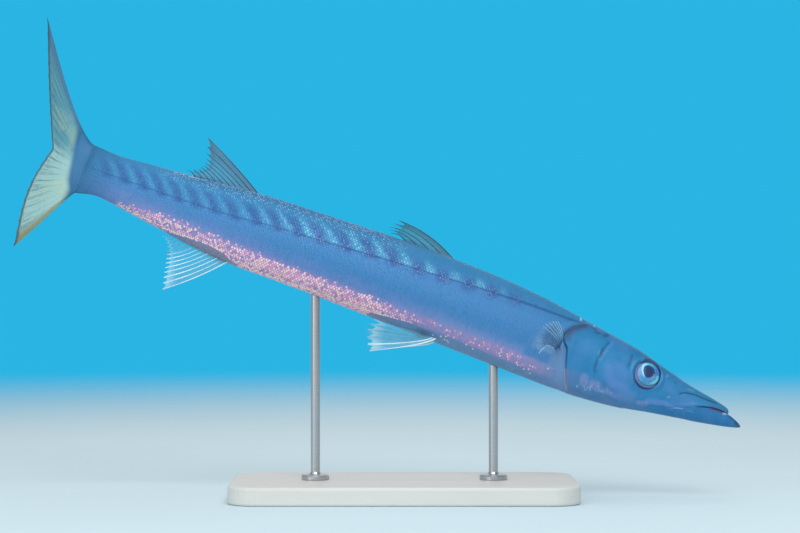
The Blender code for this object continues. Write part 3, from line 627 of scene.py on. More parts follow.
def trunkColour(f):
    # the trunk's colour from its markings, the same for the skin and its scales
    names = ("along", "height", "side", "line", "level", "dark", "glow", "pink", "strip", "cream")
    k = dict(zip(names, f.attributes(*names)))
    along, height, side, line, level, dark, glow, pink, strip, cream = k.values()
    spot = f.combine(along, side, height)
    cloud = f.noise(spot, 0.045, 2.0)
    mottle = f.noise(spot, 0.35, 3.0, 0.6)
    # streaks: upright streaks of lighter and darker tone, a painted shimmer over the flank
    streaks = f.noise(f.combine(along * 0.5, side * 0.08, height * 0.06), 1.0, 2.0)

    low = f.soft((cloud - 0.5) * 8 - height, 2.0, 17.0)
    behindGill = f.band(along, 160.0, 190.0, 9.0) * f.band(height, -26.0, 1.0, 5.0)
    upper = f.soft(line, -0.5, 3.0) * f.soft(along, 230.0, 400.0) * f.soft(level, 1.0, 0.7)
    crown = f.soft(level, 0.6, 0.9) * f.band(along, 345.0, 530.0, 25.0)
    veil = f.band(strip, -9.0, -4.0, 8.0) * f.soft(along, 168.0, 190.0) * f.soft(along, 600.0, 560.0)
    # under: a painted shadow of the pectoral fin on the flank behind the gill, in the flank's darker blue
    under = f.band(along, 179.0, 197.0, 5.0) * f.band(height, -14.0, -8.5, 3.0)
    belly = f.soft(strip + (mottle - 0.5) * 1.5, -0.4, 1.2) * f.soft(along, 170.0, 200.0)
    keel = f.soft((mottle - 0.5) * 1.2 - cream, 0.5, 1.8) * f.soft(along, 300.0, 350.0)
    keel = keel * f.soft(along, 575.0, 545.0)
    broken = f.soft(f.noise(f.combine(along * 0.35, 0.0, 0.0), 1.0, 1.0), 0.32, 0.55)
    lineDark = f.band(line, -0.5, 0.35, 0.4) * f.soft(along, 148.0, 175.0) * (0.45 + 0.55 * broken)
    lineShade = f.cover("line", colours, ("lineRear", f.soft(along, 330.0, 450.0)))
    shadow = f.band(line, -1.3, 0.9, 0.9) * f.soft(along, 150.0, 175.0) * f.soft(along, 270.0, 205.0)
    # fromFin and root: a painted shadow on the body just above the pelvic fin's root, in brown
    fromFin = f.node("ShaderNodeVectorMath", {"operation": "DISTANCE"},
                     {0: spot, 1: (283, -6, -26.8)}, output=1)
    root = f.soft(fromFin, 16.0, 5.0) * f.band(height, -27.0, -25.6, 0.9)
    colour = f.cover(
        "flank", colours, ("back", f.soft(level + (cloud - 0.5) * 0.4, 0.3, 0.95)), ("lowFlank", low),
        ("behindGill", behindGill * 0.8), ("aboveLine", upper * 0.75), ("crown", crown * 0.7),
        ("barDark", dark * (0.62 + 0.4 * mottle)), ("barLight", glow * 0.8),
        ("pink", pink * (0.6 + 0.4 * mottle)), ("veil", veil * (0.3 + 0.3 * f.soft(along, 320.0, 260.0))),
        ("flank", under * 0.8), ("belly", belly * 0.8), ("bellyEdge", keel * 0.85),
        ("lowFlank", f.soft(streaks, 0.45, 0.75) * 0.14), ("back", f.soft(streaks, 0.5, 0.25) * 0.3),
        (lineShade, lineDark * (0.6 + 0.3 * dark)), ("barDark", shadow * 0.5), ("brown", root * 0.5),
        ("tailFlesh", f.soft(along, 570.0, 618.0) * 0.9), ("back", (mottle - 0.5) * 0.35))
    grain = f.noise(spot, 2.2, 2.0)
    return {**k, "colour": colour, "spot": spot, "mottle": mottle, "grain": grain, "cloud": cloud}


def headColour(f, k):
    # the head's colour and its lines, over the trunk's in front of the gill's edge
    along, side, height, level = k["along"], k["side"], k["height"], k["level"]
    mottle, spot = k["mottle"], k["spot"]
    gillGap, mouth, lipLine = f.attributes("gill", "mouth", "lip")
    lilac, rose, umber, ink, pale = f.attributes("lilac", "rose", "umber", "ink", "pale")
    jaw = f.soft(mouth, 0.0, -2.0) * f.soft(along, 90.0, 60.0)
    low = f.soft((mottle - 0.5) * 6 - height, 9.0, 16.0) * f.soft(along, 70.0, 110.0)
    top = f.soft(f.noise(spot, 0.11, 3.0, 0.6), 0.42, 0.68)
    tint = f.soft(f.noise(f.combine(along * 0.5, side, height), 0.09, 3.0, 0.6), 0.42, 0.62)
    upright = f.noise(f.combine(along * 0.2, side * 0.05, height * 0.05), 1.0, 2.0)
    drift = f.noise(spot, 0.5, 3.0, 0.6)
    broken = 0.35 + 1.3 * f.soft(drift, 0.3, 0.7)
    squiggle = f.soft(f.maths("ABSOLUTE", f.noise(spot, 0.75, 1.0) - 0.5), 0.035, 0.0)
    lip = f.band(lipLine + (mottle - 0.5) * 0.5, -0.35, 0.35, 0.5) * f.band(along, 28.0, 58.0, 3.0)
    red = f.band(mouth, -1.4, 0.8, 1.2) * f.band(along, 18.5, 28.0, 5.0)
    shut = f.band(mouth, -0.4, 0.3, 0.4) * f.band(along, 22.0, 36.0, 8.0)
    face = f.cover(
        "opercle", colours, ("headTop", f.soft(level + (k["cloud"] - 0.5) * 0.4, 0.35, 0.95)),
        ("snout", f.soft(along, 84.0, 60.0)), ("jaw", jaw), ("lowHead", low), ("headTop", top * 0.35),
        ("teal", tint * f.soft(level, 0.35, 0.85) * 0.45), ("lowHead", f.soft(upright, 0.5, 0.75) * 0.3),
        ("lilac", lilac * (0.6 + 0.6 * drift)), ("rose", f.capped(rose * broken)),
        ("pale", squiggle * rose * 0.5), ("black", lip * (0.45 + 0.4 * mottle)), ("lips", red * 0.85),
        ("black", shut * 0.85))

    nape = f.soft(height, 31.0, 34.0) * f.soft(along, 148.0, 162.0)
    behind = f.maths("MAXIMUM", f.soft(gillGap, 0.4, 1.2), nape)
    gillLine = f.band(gillGap, -0.3, 0.8, 0.7) * f.band(height, -24.0, 29.0, 3.0) * f.soft(height, -17.0, 8.0)
    lowEdge = f.band(gillGap, 0.4, 1.7, 0.7) * f.band(height, -26.0, -14.0, 2.0)
    return f.cover(
        face, colours, (k["colour"], behind), ("dark", gillLine * 0.4), ("edge", lowEdge * 0.75),
        # dark strokes, with the painted shade in the pectoral fin's axil
        ("umber", umber * (0.6 + 0.8 * drift)), ("dark", ink * (0.75 + 0.5 * drift)),
        # pale strokes: mostly painted glints and highlights
        ("pale", f.capped(pale * (0.7 + 0.6 * drift))))


def tailColour(f, height, mottle):
    # the tail fin's web past the blue flesh: pale green above and warmer below
    warm = f.soft(mottle, 0.45, 0.7) * f.soft(height, 60.0, 10.0)
    return f.cover("webUpper", colours, ("webLower", f.soft(height, 12.0, -8.0)), ("webWarm", warm * 0.45))


def skinFinish():
    f = Finish("wet skin")
    k = trunkColour(f)
    past, = f.attributes("past")
    colour = f.mix(headColour(f, k), tailColour(f, k["height"], k["mottle"]), f.soft(past, -3.5, 3.5))
    pores = f.node("ShaderNodeTexVoronoi", {}, {"Vector": k["spot"], "Scale": 0.9})
    lift = f.bump(pores * 0.4 + k["grain"] * 0.6, 0.3, 0.0003)
    return f.surface({"Base Color": colour, "Roughness": 0.36 + 0.2 * k["grain"],
                      "Metallic": 0.06 + 0.1 * k["mottle"], "Specular IOR Level": 0.32, "Normal": lift})


def scaleFinish():
    # the trunk's colour with painted glints: bright dots in the bars' gaps, on the back and, most of all, in
    # the pink band; and painted shade round each scale's rim
    f = Finish("scale sheen")
    k = trunkColour(f)
    glow, pink, dark, along, height = k["glow"], k["pink"], k["dark"], k["along"], k["height"]
    level, mottle, creamLine = k["level"], k["mottle"], k["cream"]
    chance, rim, glint = f.attributes("chance", "rim", "glint")
    other = f.maths("FRACT", chance * 17.3)
    rough = glint + (k["grain"] - 0.5) * 0.55
    # dot: the painted glint at each scale's crown, roughened by noise; wide is its larger, fainter spread
    dot = f.soft(rough, 0.35, 0.85)
    wide = f.soft(rough, 0.05, 0.5)
    front = 1 - f.soft(along, 420.0, 480.0) * 0.65
    # bright: the colour of the painted glints in the bars' gaps; inGap and onBar: where they show, in the
    # gaps and, fainter, on the bars
    bright = f.cover("gapDot", colours, ("barDot", f.soft(other, 0.7, 0.85) * 0.7))
    inGap = dot * glow * f.soft(chance + glow * 0.4, 0.35, 1.05) * front
    onBar = dot * dark * f.soft(other, 0.2, 0.9) * f.soft(along, 460.0, 400.0)
    upper = f.soft(level + k["line"] * 0.01, 0.6, 0.9) * f.band(along, 340.0, 535.0, 25.0)
    # finBase: where painted white glints show along the second dorsal fin's base
    finBase = f.band(along, 474.0, 528.0, 20.0) * f.band(f.maths("ABSOLUTE", k["side"]), 3.4, 7.5, 2.2)
    finBase = finBase * f.soft(level, 0.45, 0.6)

    low = f.soft(creamLine, 9.0, 1.0) * f.soft(along, 290.0, 340.0)
    # the colour of the painted glints in the pink band: magenta, pale pink, and peach low down
    glintColour = f.cover("magenta", colours, ("pinkDot", f.soft(other, 0.05, 0.45)),
                    ("peach", low * f.soft(other, 0.55, 0.8)))
    drift = f.noise(f.combine(along * 0.3, 0.0, height * 0.45), 1.0, 3.0)
    # lit: how brightly each scale's painted glitter shows in the pink band
    lit = pink * (0.3 + 0.75 * chance) + (drift - 0.5) * 0.7 * pink
    lit = lit + 0.26 * f.soft(chance, 0.72, 0.95) * f.soft(pink, 0.04, 0.3)
    strong = f.soft(lit, 0.15, 0.75)
    rear = f.soft(along, 285.0, 335.0)
    edge = 1.0 - 0.75 * strong + 0.12 * (1 - rear)
    spark = f.soft(rough, edge - 0.12, edge + 0.3) * f.soft(lit, 0.1, 0.5)
    haze = f.soft(pink, 0.03, 0.3) * (1 - rear)
    cream = f.band(creamLine + (mottle - 0.5) * 1.6, -0.4, 0.3, 0.4) * f.soft(pink, 0.2, 0.6)
    cream = cream * f.soft(along, 285.0, 320.0) * f.soft(chance, 0.15, 0.65)
    # painted glints: a small glitter patch at the nape and pale specks low behind the gill
    glitter = f.band(along, 161.6, 163.0, 0.7) * f.band(height, 33.4, 36.4, 0.7)
    speck = f.band(height, -26.0, -19.0, 3.0) * f.band(along, 168.0, 300.0, 12.0)
    # the last layer darkens each scale's rim a little: painted shade between the overlapping scales
    colour = f.cover(
        k["colour"], colours, ("back", f.soft(chance, 0.4, 1.0) * 0.1), (bright, inGap * 0.75),
        ("barDot", onBar * 0.65), ("backDot", dot * upper * (0.12 + 0.8 * f.soft(chance, 0.3, 0.9))),
        ("sparkle", dot * finBase * f.soft(other, 0.3, 0.6) * 0.9), ("magenta", strong * (0.4 + 0.3 * wide)),
        ("pink", haze * (0.25 + 0.35 * chance)), (glintColour, spark * (0.36 + 0.64 * rear)),
        ("cream", cream * (0.1 + 0.8 * wide)), ("gapDot", glitter * 0.9),
        ("pinkDot", dot * speck * f.soft(other, 0.9, 0.96) * 0.85), ("barDark", rim * 0.12))
    return f.surface({"Base Color": colour, "Roughness": 0.4 + 0.16 * (1 - chance),
                      "Metallic": 0.06 + 0.12 * chance, "Specular IOR Level": 0.28,
                      "Normal": f.bump(k["grain"], 0.25, 0.0002)})


# the skin: body and head in one, then the lower jaw joined on and the eye sockets and nostrils cut

def mouthAngle(along):
    onMouth = np.minimum(angleAt(along, mouthAt(along)), head["widestMouth"])
    throat = fade(along, head["jawJoint"], head["throatLength"])
    behind = blend(head["widestMouth"], head["throatAngle"], throat)
    return np.where(along < head["jawJoint"], onMouth, behind)


def columnAngles(along):
    # the angles of one ring; column "toMouth" always lies on the mouth's line
    corner = float(mouthAngle(along))
    first, half = skin["toMouth"], skin["half"]
    upper = corner * np.arange(first + 1) / first
    lower = blend(corner, np.pi, np.arange(1, half - first + 1) / (half - first))
    one = np.concatenate([upper, lower])
    return np.concatenate([one, -one[-2:0:-1]])


def sideShare(angle):
    # 0 on the ridge and the keel, 1 on the sides
    return smoothStep(np.abs(np.sin(angle)) * skin["sideSlope"])


def coverAt(height):
    # how far the gill cover stands free: not at all near the back and little at the throat
    top = 1 - smoothStep((height - gill["coverTop"] + gill["topFade"]) / gill["topFade"])
    return top * blend(gill["throatShare"], 1.0, fade(height, gill["throat"], gill["throatFade"]))


def headRelief(along, height, angle, side):
    lip = smoothStep((head["mouthCorner"] - along) / head["lipFade"])
    rise = head["lipRise"] * bell(height - mouthAt(along) - head["lipUp"], head["lipWidth"]) * lip
    for points, depth, width in head["grooves"]:
        rise = rise - depth * bell(distanceToLine(points, along, height), width)
    fromEye = np.hypot(along - eye["along"], height - eye["height"])
    rise = rise + eye["rimRise"] * bell(fromEye - eye["radius"] - eye["rimWidth"] / 2, eye["rimWidth"])
    discAlong, discHeight, discRadius = head["disc"]
    fromDisc = np.hypot(along - discAlong, height - discHeight) - discRadius + head["discInset"]
    rise = rise + head["discRise"] * (1 - smoothStep(fromDisc / head["discFade"]))
    beforeEdge = gillEdgeAt(height) - along
    rise = rise + gill["rise"] * smoothStep(1 - beforeEdge / gill["riseLength"]) * coverAt(height)
    crest = bell(np.abs(side) - head["crestSide"], head["crestWidth"]) * (height > waistAt(along))
    crest = crest * fade(along, head["crestFrom"], head["crestIn"])
    crest = crest * (1 - smoothStep((along - head["crestTo"] + head["crestOut"]) / head["crestOut"]))
    return rise * sideShare(angle) + head["crestRise"] * crest


def pushed(side, height, angle, rise):
    return side + rise * np.sin(angle), height + rise * np.cos(angle)


def headPoint(along, angle):
    side, height = section(along, angle)
    return pushed(side, height, angle, headRelief(along, height, angle, side))


def headRing(along):
    side, height = headPoint(along, columnAngles(along))
    half, first = skin["half"], skin["toMouth"]
    step = np.minimum(np.arange(2 * half), 2 * half - np.arange(2 * half))
    if along < head["jawJoint"]:
        inner = step >= first
        share = (half - step) / (half - first)
        cornerSide, cornerHeight = side[first], height[first] + slitAt(along) / 2
        shallow = smoothStep((head["jawJoint"] - along) / head["palateFade"])
        vault = head["palate"] * (1 - share ** 2) * shallow
        side = np.where(inner, np.sign(side + 1e-9) * cornerSide * share, side)
        height = np.where(inner, cornerHeight + vault, np.maximum(height, cornerHeight))
    return place(along, side, height)


def gillAlong(angle):
    return gillEdgeAt(section(gill["section"], angle)[1])


def gillRings():
    angles = columnAngles(gill["start"])
    edge = gillAlong(angles)
    opened = coverAt(section(gill["section"], angles)[1])
    rings = []
    count = round(gill["coverLength"] / skin["headStep"])
    for share in np.arange(1, count + 1) / count:
        along = blend(gill["start"], edge - gill["stepBack"], share)
        rings.append(place(along, *headPoint(along, angles)))
    for back, out, shut in gill["fold"]:
        along = edge + blend(shut, back, opened)
        side, height = section(along, angles)
        grow = (gill["rise"] + out) * opened * sideShare(angles) - skin["coatDepth"] * (back > 0) * opened
        rings.append(place(along, *pushed(side, height, angles, grow)))
    last = gill["fold"][-1][0]
    for share in np.linspace(0, 1, gill["shoulderRings"])[1:-1]:
        along = blend(edge + last, gill["shoulder"], share)
        rings.append(place(along, *section(along, angles, -skin["coatDepth"])))
    return rings


def paired(u, t):
    return np.broadcast_arrays(np.asarray(u, float), np.asarray(t, float))


def lobeSheet(u, t, upper):
    # one lobe of the tail fin: u runs from its leading edge to the fin's middle, t from root to tip
    key, sign = ("upper", 1) if upper else ("lower", -1)
    end = place(body["stemEnd"] + 0.3, 0.0, 0.0)
    back, belly = float(backAt(body["stemEnd"])), float(bellyAt(body["stemEnd"]))
    edge = (back if upper else belly) * tail["rootShare"]
    u, t = paired(u, t)
    towardsFork = np.clip(u, 0, 1)[..., None] ** tail["forkPower"]
    far = blend(np.array(tail[key + "Tip"]), np.array(tail["fork"]), towardsFork)
    far[..., 0] -= tail[key + "Bulge"] * np.sin(np.pi * u)
    root = np.stack(np.broadcast_arrays(end[0], end[1], blend(edge, (back + belly) / 2, u)), axis=-1)
    reach = far - root
    dip = tail[key + "Sag"] * np.sin(np.pi * np.clip(t, 0, 1) ** tail["sagPower"]) * (1 - u)
    return np.stack([root[..., 0] + reach[..., 0] * t - tail["sagForward"] * dip,
                     root[..., 1] + reach[..., 1] * 0.5 * (t + t * t),
                     root[..., 2] + reach[..., 2] * t - sign * dip], axis=-1)


def tailSheet(v, t):
    # the whole tail fin: v runs from the upper leading edge at 0 to the lower one at 1
    v, t = paired(v, t)
    upper = lobeSheet(np.clip(2 * v, 0, 1), t, True)
    lower = lobeSheet(np.clip(2 - 2 * v, 0, 1), t, False)
    return np.where((v <= 0.5)[..., None], upper, lower)


def acrossAt(height):
    # where a height at the end of the stem falls across the tail fin
    back, belly = (float(edgeAt(body["stemEnd"])) * tail["rootShare"] for edgeAt in (backAt, bellyAt))
    return np.clip((back - height) / (back - belly), 0, 1)


def sheetNormal(sheet, u, t, step=0.01):
    down = sheet(np.clip(u + step, 0, 1), t) - sheet(np.clip(u - step, 0, 1), t)
    normal = np.cross(down, sheet(u, t + step) - sheet(u, t - step))
    return normal / np.maximum(np.linalg.norm(normal, axis=-1), 1e-9)[..., None]


def fleshPoint(angle, past, inset=0.0):
    # flesh over the root of the tail fin, past millimetres behind the stem's end
    side, height = section(body["stemEnd"], angle)
    v = acrossAt(height)
    length = np.linalg.norm(tailSheet(v, np.ones_like(v)) - tailSheet(v, np.zeros_like(v)), axis=-1)
    t = np.minimum(past / length, tail["fleshMost"])
    normal = sheetNormal(tailSheet, v, t)
    normal *= np.sign(normal[..., 1:2])
    share = np.clip(past / (fleshAt(height) * tail["fleshLonger"]), 0, 1)
    thick = np.abs(side) * (1 - share) ** tail["fleshPower"]
    thick = thick + tail["skinThick"] * share * np.abs(np.sin(angle)) ** 0.5
    return tailSheet(v, t) + normal * (np.sign(side) * np.maximum(thick - inset, 0))[..., None]


def bluntEnd(ringAt, start, blunt, shares):
    # a rounded tip: rings that shrink towards their middles
    rings = [ringAt(start + blunt * (1 - math.sqrt(1 - share * share))) for share in shares]
    return [blend(ring.mean(axis=0), ring, share) for ring, share in zip(rings, shares)]


def stations(start, end, step):
    return np.linspace(start, end, round((end - start) / step))


def makeSkin():
    rings = bluntEnd(headRing, head["snoutTip"], head["snoutBlunt"], head["snoutShares"])
    for along in stations(head["snoutTip"] + head["snoutBlunt"], gill["start"], skin["headStep"]):
        rings.append(headRing(along))
    rings += gillRings()
    angles = columnAngles(gill["shoulder"])
    for along in stations(gill["shoulder"], body["stemEnd"], skin["bodyStep"]):
        rings.append(place(along, *section(along, angles, -skin["coatDepth"])))
    stemHeight = section(body["stemEnd"], angles)[1]
    for share in np.arange(1, skin["tailRings"] + 1) / skin["tailRings"]:
        past = share * fleshAt(stemHeight) * tail["fleshLonger"]
        rings.append(fleshPoint(angles, past, inset=skin["coatDepth"] * (1 - share)))
    return loftRings("fish_skin", rings)


def jawRing(along):
    angle = float(mouthAngle(along))
    side, height = headPoint(along, np.array([angle]))
    shutting = fade(along, head["slitEnd"], head["slitFade"])
    inset = head["jawInset"] * shutting + head["jawTuck"] * fade(along, head["tuckFrom"], head["tuckLength"])
    cornerSide = side[0] - inset
    top = height[0] - slitAt(along) / 2 * (1 - shutting) + head["jawOverlap"] * shutting
    across = np.arange(skin["jawTop"]) / skin["jawTop"]
    dish = head["dish"] * (1 - across ** 2) * (1 - shutting) * smoothStep(along / head["dishLength"])
    angles = blend(angle, np.pi, np.arange(skin["jawSide"] + 1) / skin["jawSide"])
    sides, heights = section(along, angles)
    sides, heights = pushed(sides, heights, angles, headRelief(along, heights, angles, sides) - inset)
    sides[0], heights[0] = cornerSide, top
    heights = np.minimum(heights, top)
    half = np.column_stack([np.concatenate([cornerSide * across, sides]),
                            np.concatenate([top - dish, heights])])
    whole = np.concatenate([half, half[-2:0:-1] * (-1, 1)])
    return place(along, whole[:, 0], whole[:, 1])


def makeJaw():
    rings = bluntEnd(jawRing, 0.0, head["jawBlunt"], head["jawShares"])
    rings += [jawRing(along) for along in stations(head["jawBlunt"], skin["jawEnd"], skin["jawStep"])]
    return loftRings("jaw", rings)


def uprightFrame(axis):
    # the directions forward and up that are square to an axis
    up = np.array([0.0, 0.0, 1.0]) - axis * axis[2]
    up /= np.linalg.norm(up)
    return np.cross(up, axis), up


def ballPoints(centre, axis, radius, halfDepth, around, steps):
    # a flattened ball whose short axis points along axis, in the fish's frame
    forward, up = uprightFrame(axis)
    polar = np.linspace(0, np.pi, steps + 1)[:, None]
    turn = np.linspace(0, 2 * np.pi, around, endpoint=False)[None, :]
    x = radius * np.sin(polar) * np.cos(turn)
    y = radius * np.sin(polar) * np.sin(turn)
    z = halfDepth * np.cos(polar) + 0 * turn
    return centre + x[..., None] * forward + y[..., None] * up + z[..., None] * axis


def ballMesh(name, balls):
    points, faces = [], []
    for grid in balls:
        faces += gridFaces(grid.shape[0], grid.shape[1], start=sum(len(p) for p in points), wrap=True)
        points.append(grid.reshape(-1, 3))
    return makeMesh(name, np.concatenate(points), faces)


def eyeCentre(sign):
    here, outward = skinPoint(eye["along"], eye["height"], sign)
    return here - outward * eye["sunk"], outward


def cutAndJoin(thing, other, operation):
    step = thing.modifiers.new(operation.lower(), "BOOLEAN")
    step.operation = operation
    step.solver = "MANIFOLD"
    step.object = other
    applied(thing)
    bpy.data.objects.remove(other, do_unlink=True)


def buildSkin():
    whole = makeSkin()
    cutAndJoin(whole, makeJaw(), "UNION")
    openings = []
    radius, halfDepth = eye["radius"] + eye["clear"], eye["halfDepth"] + eye["clear"]
    for sign in (-1, 1):
        openings.append(ballPoints(*eyeCentre(sign), radius, halfDepth, *skin["eyeSteps"]))
        for along, height, size in head["nostrils"]:
            depth, steps = size * skin["nostrilDepth"], skin["nostrilSteps"]
            openings.append(ballPoints(*skinPoint(along, height, sign), size, depth, *steps))
    cutAndJoin(whole, ballMesh("openings", openings), "DIFFERENCE")
    mesh = whole.data
    tidyMesh(mesh, skin["merge"])
    markFish(mesh, withHead=True)
    mesh.shade_smooth()
    mesh.set_sharp_from_angle(angle=math.radians(skin["sharp"]))
    mesh.materials.clear()
    mesh.materials.append(skinFinish())
    return finished(whole, "head", "lower_jaw", "trunk_front", "trunk_rear", "tail_stem", slot="body_skin")


fishSkin = buildSkin()
print("stage: skin", len(fishSkin.data.vertices), "points")


# the scales: one closed plate drawn once, and set by Geometry Nodes on roots that run in slanting rows

scales = {
    "rowsRound": 49, "pitch": 0.325, "leastPitch": 1.15, "length": 3.25, "width": 1.06, "thick": 1.5,
    "lift": 0.08, "tilt": 2.6, "tiltSpread": 0.9, "sizeSpread": 0.05, "seed": 7, "patch": 0.003,
    "edgeSink": 0.28, "edgeLength": 12, "smallInFront": (0.45, 14), "smallBehind": (0.1, 16),
    "behindGill": 5.2, "pastTail": 9.0, "from": 150.0, "unwrapped": 640, "sweepSteps": 241,
    "bevel": (0.8, 0.03, 0.06), "bevelRim": 0.15, "bevelGlint": 0.2, "crown": (0.25, 0.0, 0.09),
    "probeAlong": 0.6, "probeAngle": 0.015,
    "groups": (("front", 0, 290), ("middle", 290, 430), ("rear", 430, 700)),
    "outline": [(-0.5, 0.0), (-0.42, 0.3), (-0.1, 0.47), (0.18, 0.48), (0.38, 0.38), (0.5, 0.2), (0.54, 0.0)],
}


def scaleShape():
    # x points to the free edge, y across and z out; length and width are 1
    half = scales["outline"]
    rim = half + [(x, -y) for x, y in reversed(half[1:-1])]
    count = len(rim)
    share, shift, rise = scales["bevel"]
    points = [(x, y, 0.0) for x, y in rim] + [(x * share + shift, y * share, rise) for x, y in rim]
    points.append(scales["crown"])
    faces = []
    for i in range(count):
        j = (i + 1) % count
        faces.append((i, j, j + count, i + count))
        faces.append((i + count, j + count, 2 * count))
    faces.append(tuple(reversed(range(count))))
    mesh = bpy.data.meshes.new("scale_shape")
    mesh.from_pydata(points, [], faces)
    corners = np.array(points)
    # rim and glint mark where each scale gets its painted rim shade and its painted glint at the crown
    putAttributes(mesh, {"patchX": corners[:, 0], "patchY": corners[:, 1],
                         "rim": np.repeat([1, scales["bevelRim"], 0], [count, count, 1]),
                         "glint": np.repeat([0, scales["bevelGlint"], 1], [count, count, 1])})
    mesh.shade_smooth()
    return bpy.data.objects.new("scale_shape", mesh)


def surfaceAt(along, angle, grow=0.0):
    # the body's surface, and past the stem's end the flesh over the tail fin's root
    side, height = section(np.minimum(along, body["stemEnd"]), angle, grow)
    onBody = place(np.minimum(along, body["stemEnd"]), side, height)
    past = np.maximum(along - body["stemEnd"], 0.0)
    onTail = fleshPoint(angle, np.maximum(past, 0.01), inset=-grow)
    return np.where((past > 0)[..., None], onTail, onBody)


def scaleRoots():
    # (along, angle, row width, column pitch, place across the unwrapped skin) of every scale
    rows = scales["rowsRound"]
    sweep = np.linspace(0, np.pi, scales["sweepSteps"])
    along, column, found = scales["from"], 0, []
    while along < body["stemEnd"] + scales["pastTail"]:
        ring = surfaceAt(np.full_like(sweep, along), sweep)
        arc = np.concatenate([[0], np.cumsum(np.linalg.norm(np.diff(ring, axis=0), axis=1))])
        girth = 2 * arc[-1]
        width = girth / rows
        pitch = max(width * scales["pitch"], scales["leastPitch"])
        at = (np.arange(rows) + 0.5 * (column % 2)) * width
        left = at <= arc[-1]
        angle = np.interp(np.where(left, at, girth - at), arc, sweep)
        angle = np.where(left, angle, -angle)
        keep = along > gillAlong(angle) + scales["behindGill"]
        for a, across in zip(angle[keep], (at / girth)[keep]):
            found.append((along, a, width, pitch, across))
        along += pitch
        column += 1
    return np.array(found)


def rootMesh(name, roots):
    # a point for each scale, with its turn, size and place on the unwrapped skin as attributes
    along, angle, width, pitch, across = roots.T
    fromFirst = along - gillAlong(angle) - scales["behindGill"]
    toLast = body["stemEnd"] + scales["pastTail"] - along
    inside = smoothStep(np.minimum(fromFirst, toLast) / scales["edgeLength"])
    grow = -skin["coatDepth"] + scales["lift"] - scales["edgeSink"] * (1 - inside)
    here = toWorld(surfaceAt(along, angle, grow))
    da, dt = scales["probeAlong"], scales["probeAngle"]
    back = toWorld(surfaceAt(along + da, angle)) - toWorld(surfaceAt(along - da, angle))
    around = toWorld(surfaceAt(along, angle + dt)) - toWorld(surfaceAt(along, angle - dt))
    out = np.cross(around, back)
    out /= np.linalg.norm(out, axis=1)[:, None]
    centre = toWorld(place(along, 0.0, waistAt(along)))
    out *= np.sign(np.sum(out * (here - centre), axis=1))[:, None]
    back /= np.linalg.norm(back, axis=1)[:, None]
    turns = []
    for x, z in zip(back, out):
        y = np.cross(z, x)
        turns.append(Matrix((x, y, z)).transposed().to_euler())
    mesh = bpy.data.meshes.new(name)
    mesh.from_pydata(here.tolist(), [], [])
    young = 1.0
    for away, (least, length) in ((fromFirst, scales["smallInFront"]), (toLast, scales["smallBehind"])):
        young = young * blend(least, 1.0, smoothStep(away / length))
    thick = np.full_like(along, scales["thick"])
    size = np.stack([pitch * scales["length"] * young, width * scales["width"] * young, thick], axis=1) * mm
    putAttributes(mesh, {"turn": turns, "stretch": size}, "FLOAT_VECTOR")
    putAttributes(mesh, {"rootU": along / scales["unwrapped"], "rootV": across})
    return linked(name, mesh)


class Tree(Nodes):
    # a geometry node tree with named inputs, built node by node
    def __init__(self, name, inputs):
        self.tree = bpy.data.node_groups.new(name, "GeometryNodeTree")
        sockets = self.tree.interface
        sockets.new_socket("Geometry", in_out="INPUT", socket_type="NodeSocketGeometry")
        self.keys = {}
        for label, kind in inputs.items():
            made = sockets.new_socket(label, in_out="INPUT", socket_type="NodeSocket" + kind)
            self.keys[label] = made.identifier
        sockets.new_socket("Geometry", in_out="OUTPUT", socket_type="NodeSocketGeometry")
        self.given = self.tree.nodes.new("NodeGroupInput").outputs
        self.end = self.tree.nodes.new("NodeGroupOutput").inputs[0]

    def result(self, socket):
        return socket

    def finish(self, geometry):
        # the end of every tree: real geometry that wears the finish it was given
        real = self.node("GeometryNodeRealizeInstances", {}, {"Geometry": geometry})
        worn = self.node("GeometryNodeSetMaterial", {}, {"Geometry": real, "Material": self.given["Finish"]})
        self.tree.links.new(worn, self.end)

    def use(self, thing, values):
        step = thing.modifiers.new(self.tree.name, "NODES")
        step.node_group = self.tree
        for label, value in values.items():
            step[self.keys[label]] = value
        return applied(thing)


def scaleTree():
    tree = Tree("set scales on roots", {
        "Scale shape": "Object", "Tilt": "Float", "Tilt spread": "Float", "Size spread": "Float",
        "Seed": "Int", "Finish": "Material",
    })
    given = tree.given

    def named(name):
        return tree.node("GeometryNodeInputNamedAttribute", {"data_type": "FLOAT_VECTOR"}, {"Name": name})

    def maths(operation, a, b):
        return tree.node("ShaderNodeMath", {"operation": operation}, {0: a, 1: b})

    def between(low, high):
        # a value for each scale, drawn from low to high
        return tree.node("FunctionNodeRandomValue", {"data_type": "FLOAT"},
                         {2: low, 3: high, "Seed": given["Seed"]}, output=1)

    def about(middle, spread):
        return between(maths("SUBTRACT", middle, given[spread]), maths("ADD", middle, given[spread]))

    shape = tree.node("GeometryNodeObjectInfo", {}, {"Object": given["Scale shape"]}, output=4)
    back = maths("MULTIPLY", about(given["Tilt"], "Tilt spread"), -1.0)
    lean = tree.node("FunctionNodeEulerToRotation", {}, {0: tree.node("ShaderNodeCombineXYZ", {}, {1: back})})
    turn = tree.node("FunctionNodeEulerToRotation", {}, {0: named("turn")})
    turned = tree.node("FunctionNodeRotateRotation", {"rotation_space": "LOCAL"}, {0: turn, 1: lean})
    sized = tree.node("ShaderNodeVectorMath", {"operation": "SCALE"},
                      {0: named("stretch"), "Scale": about(1.0, "Size spread")})
    placed = tree.node("GeometryNodeInstanceOnPoints", {}, {"Points": given["Geometry"], "Instance": shape,
                                                            "Rotation": turned, "Scale": sized})
    marked = tree.node("GeometryNodeStoreNamedAttribute", {"data_type": "FLOAT", "domain": "INSTANCE"},
                       {"Geometry": placed, "Name": "chance", "Value": between(0.0, 1.0)})
    tree.finish(marked)
    return tree


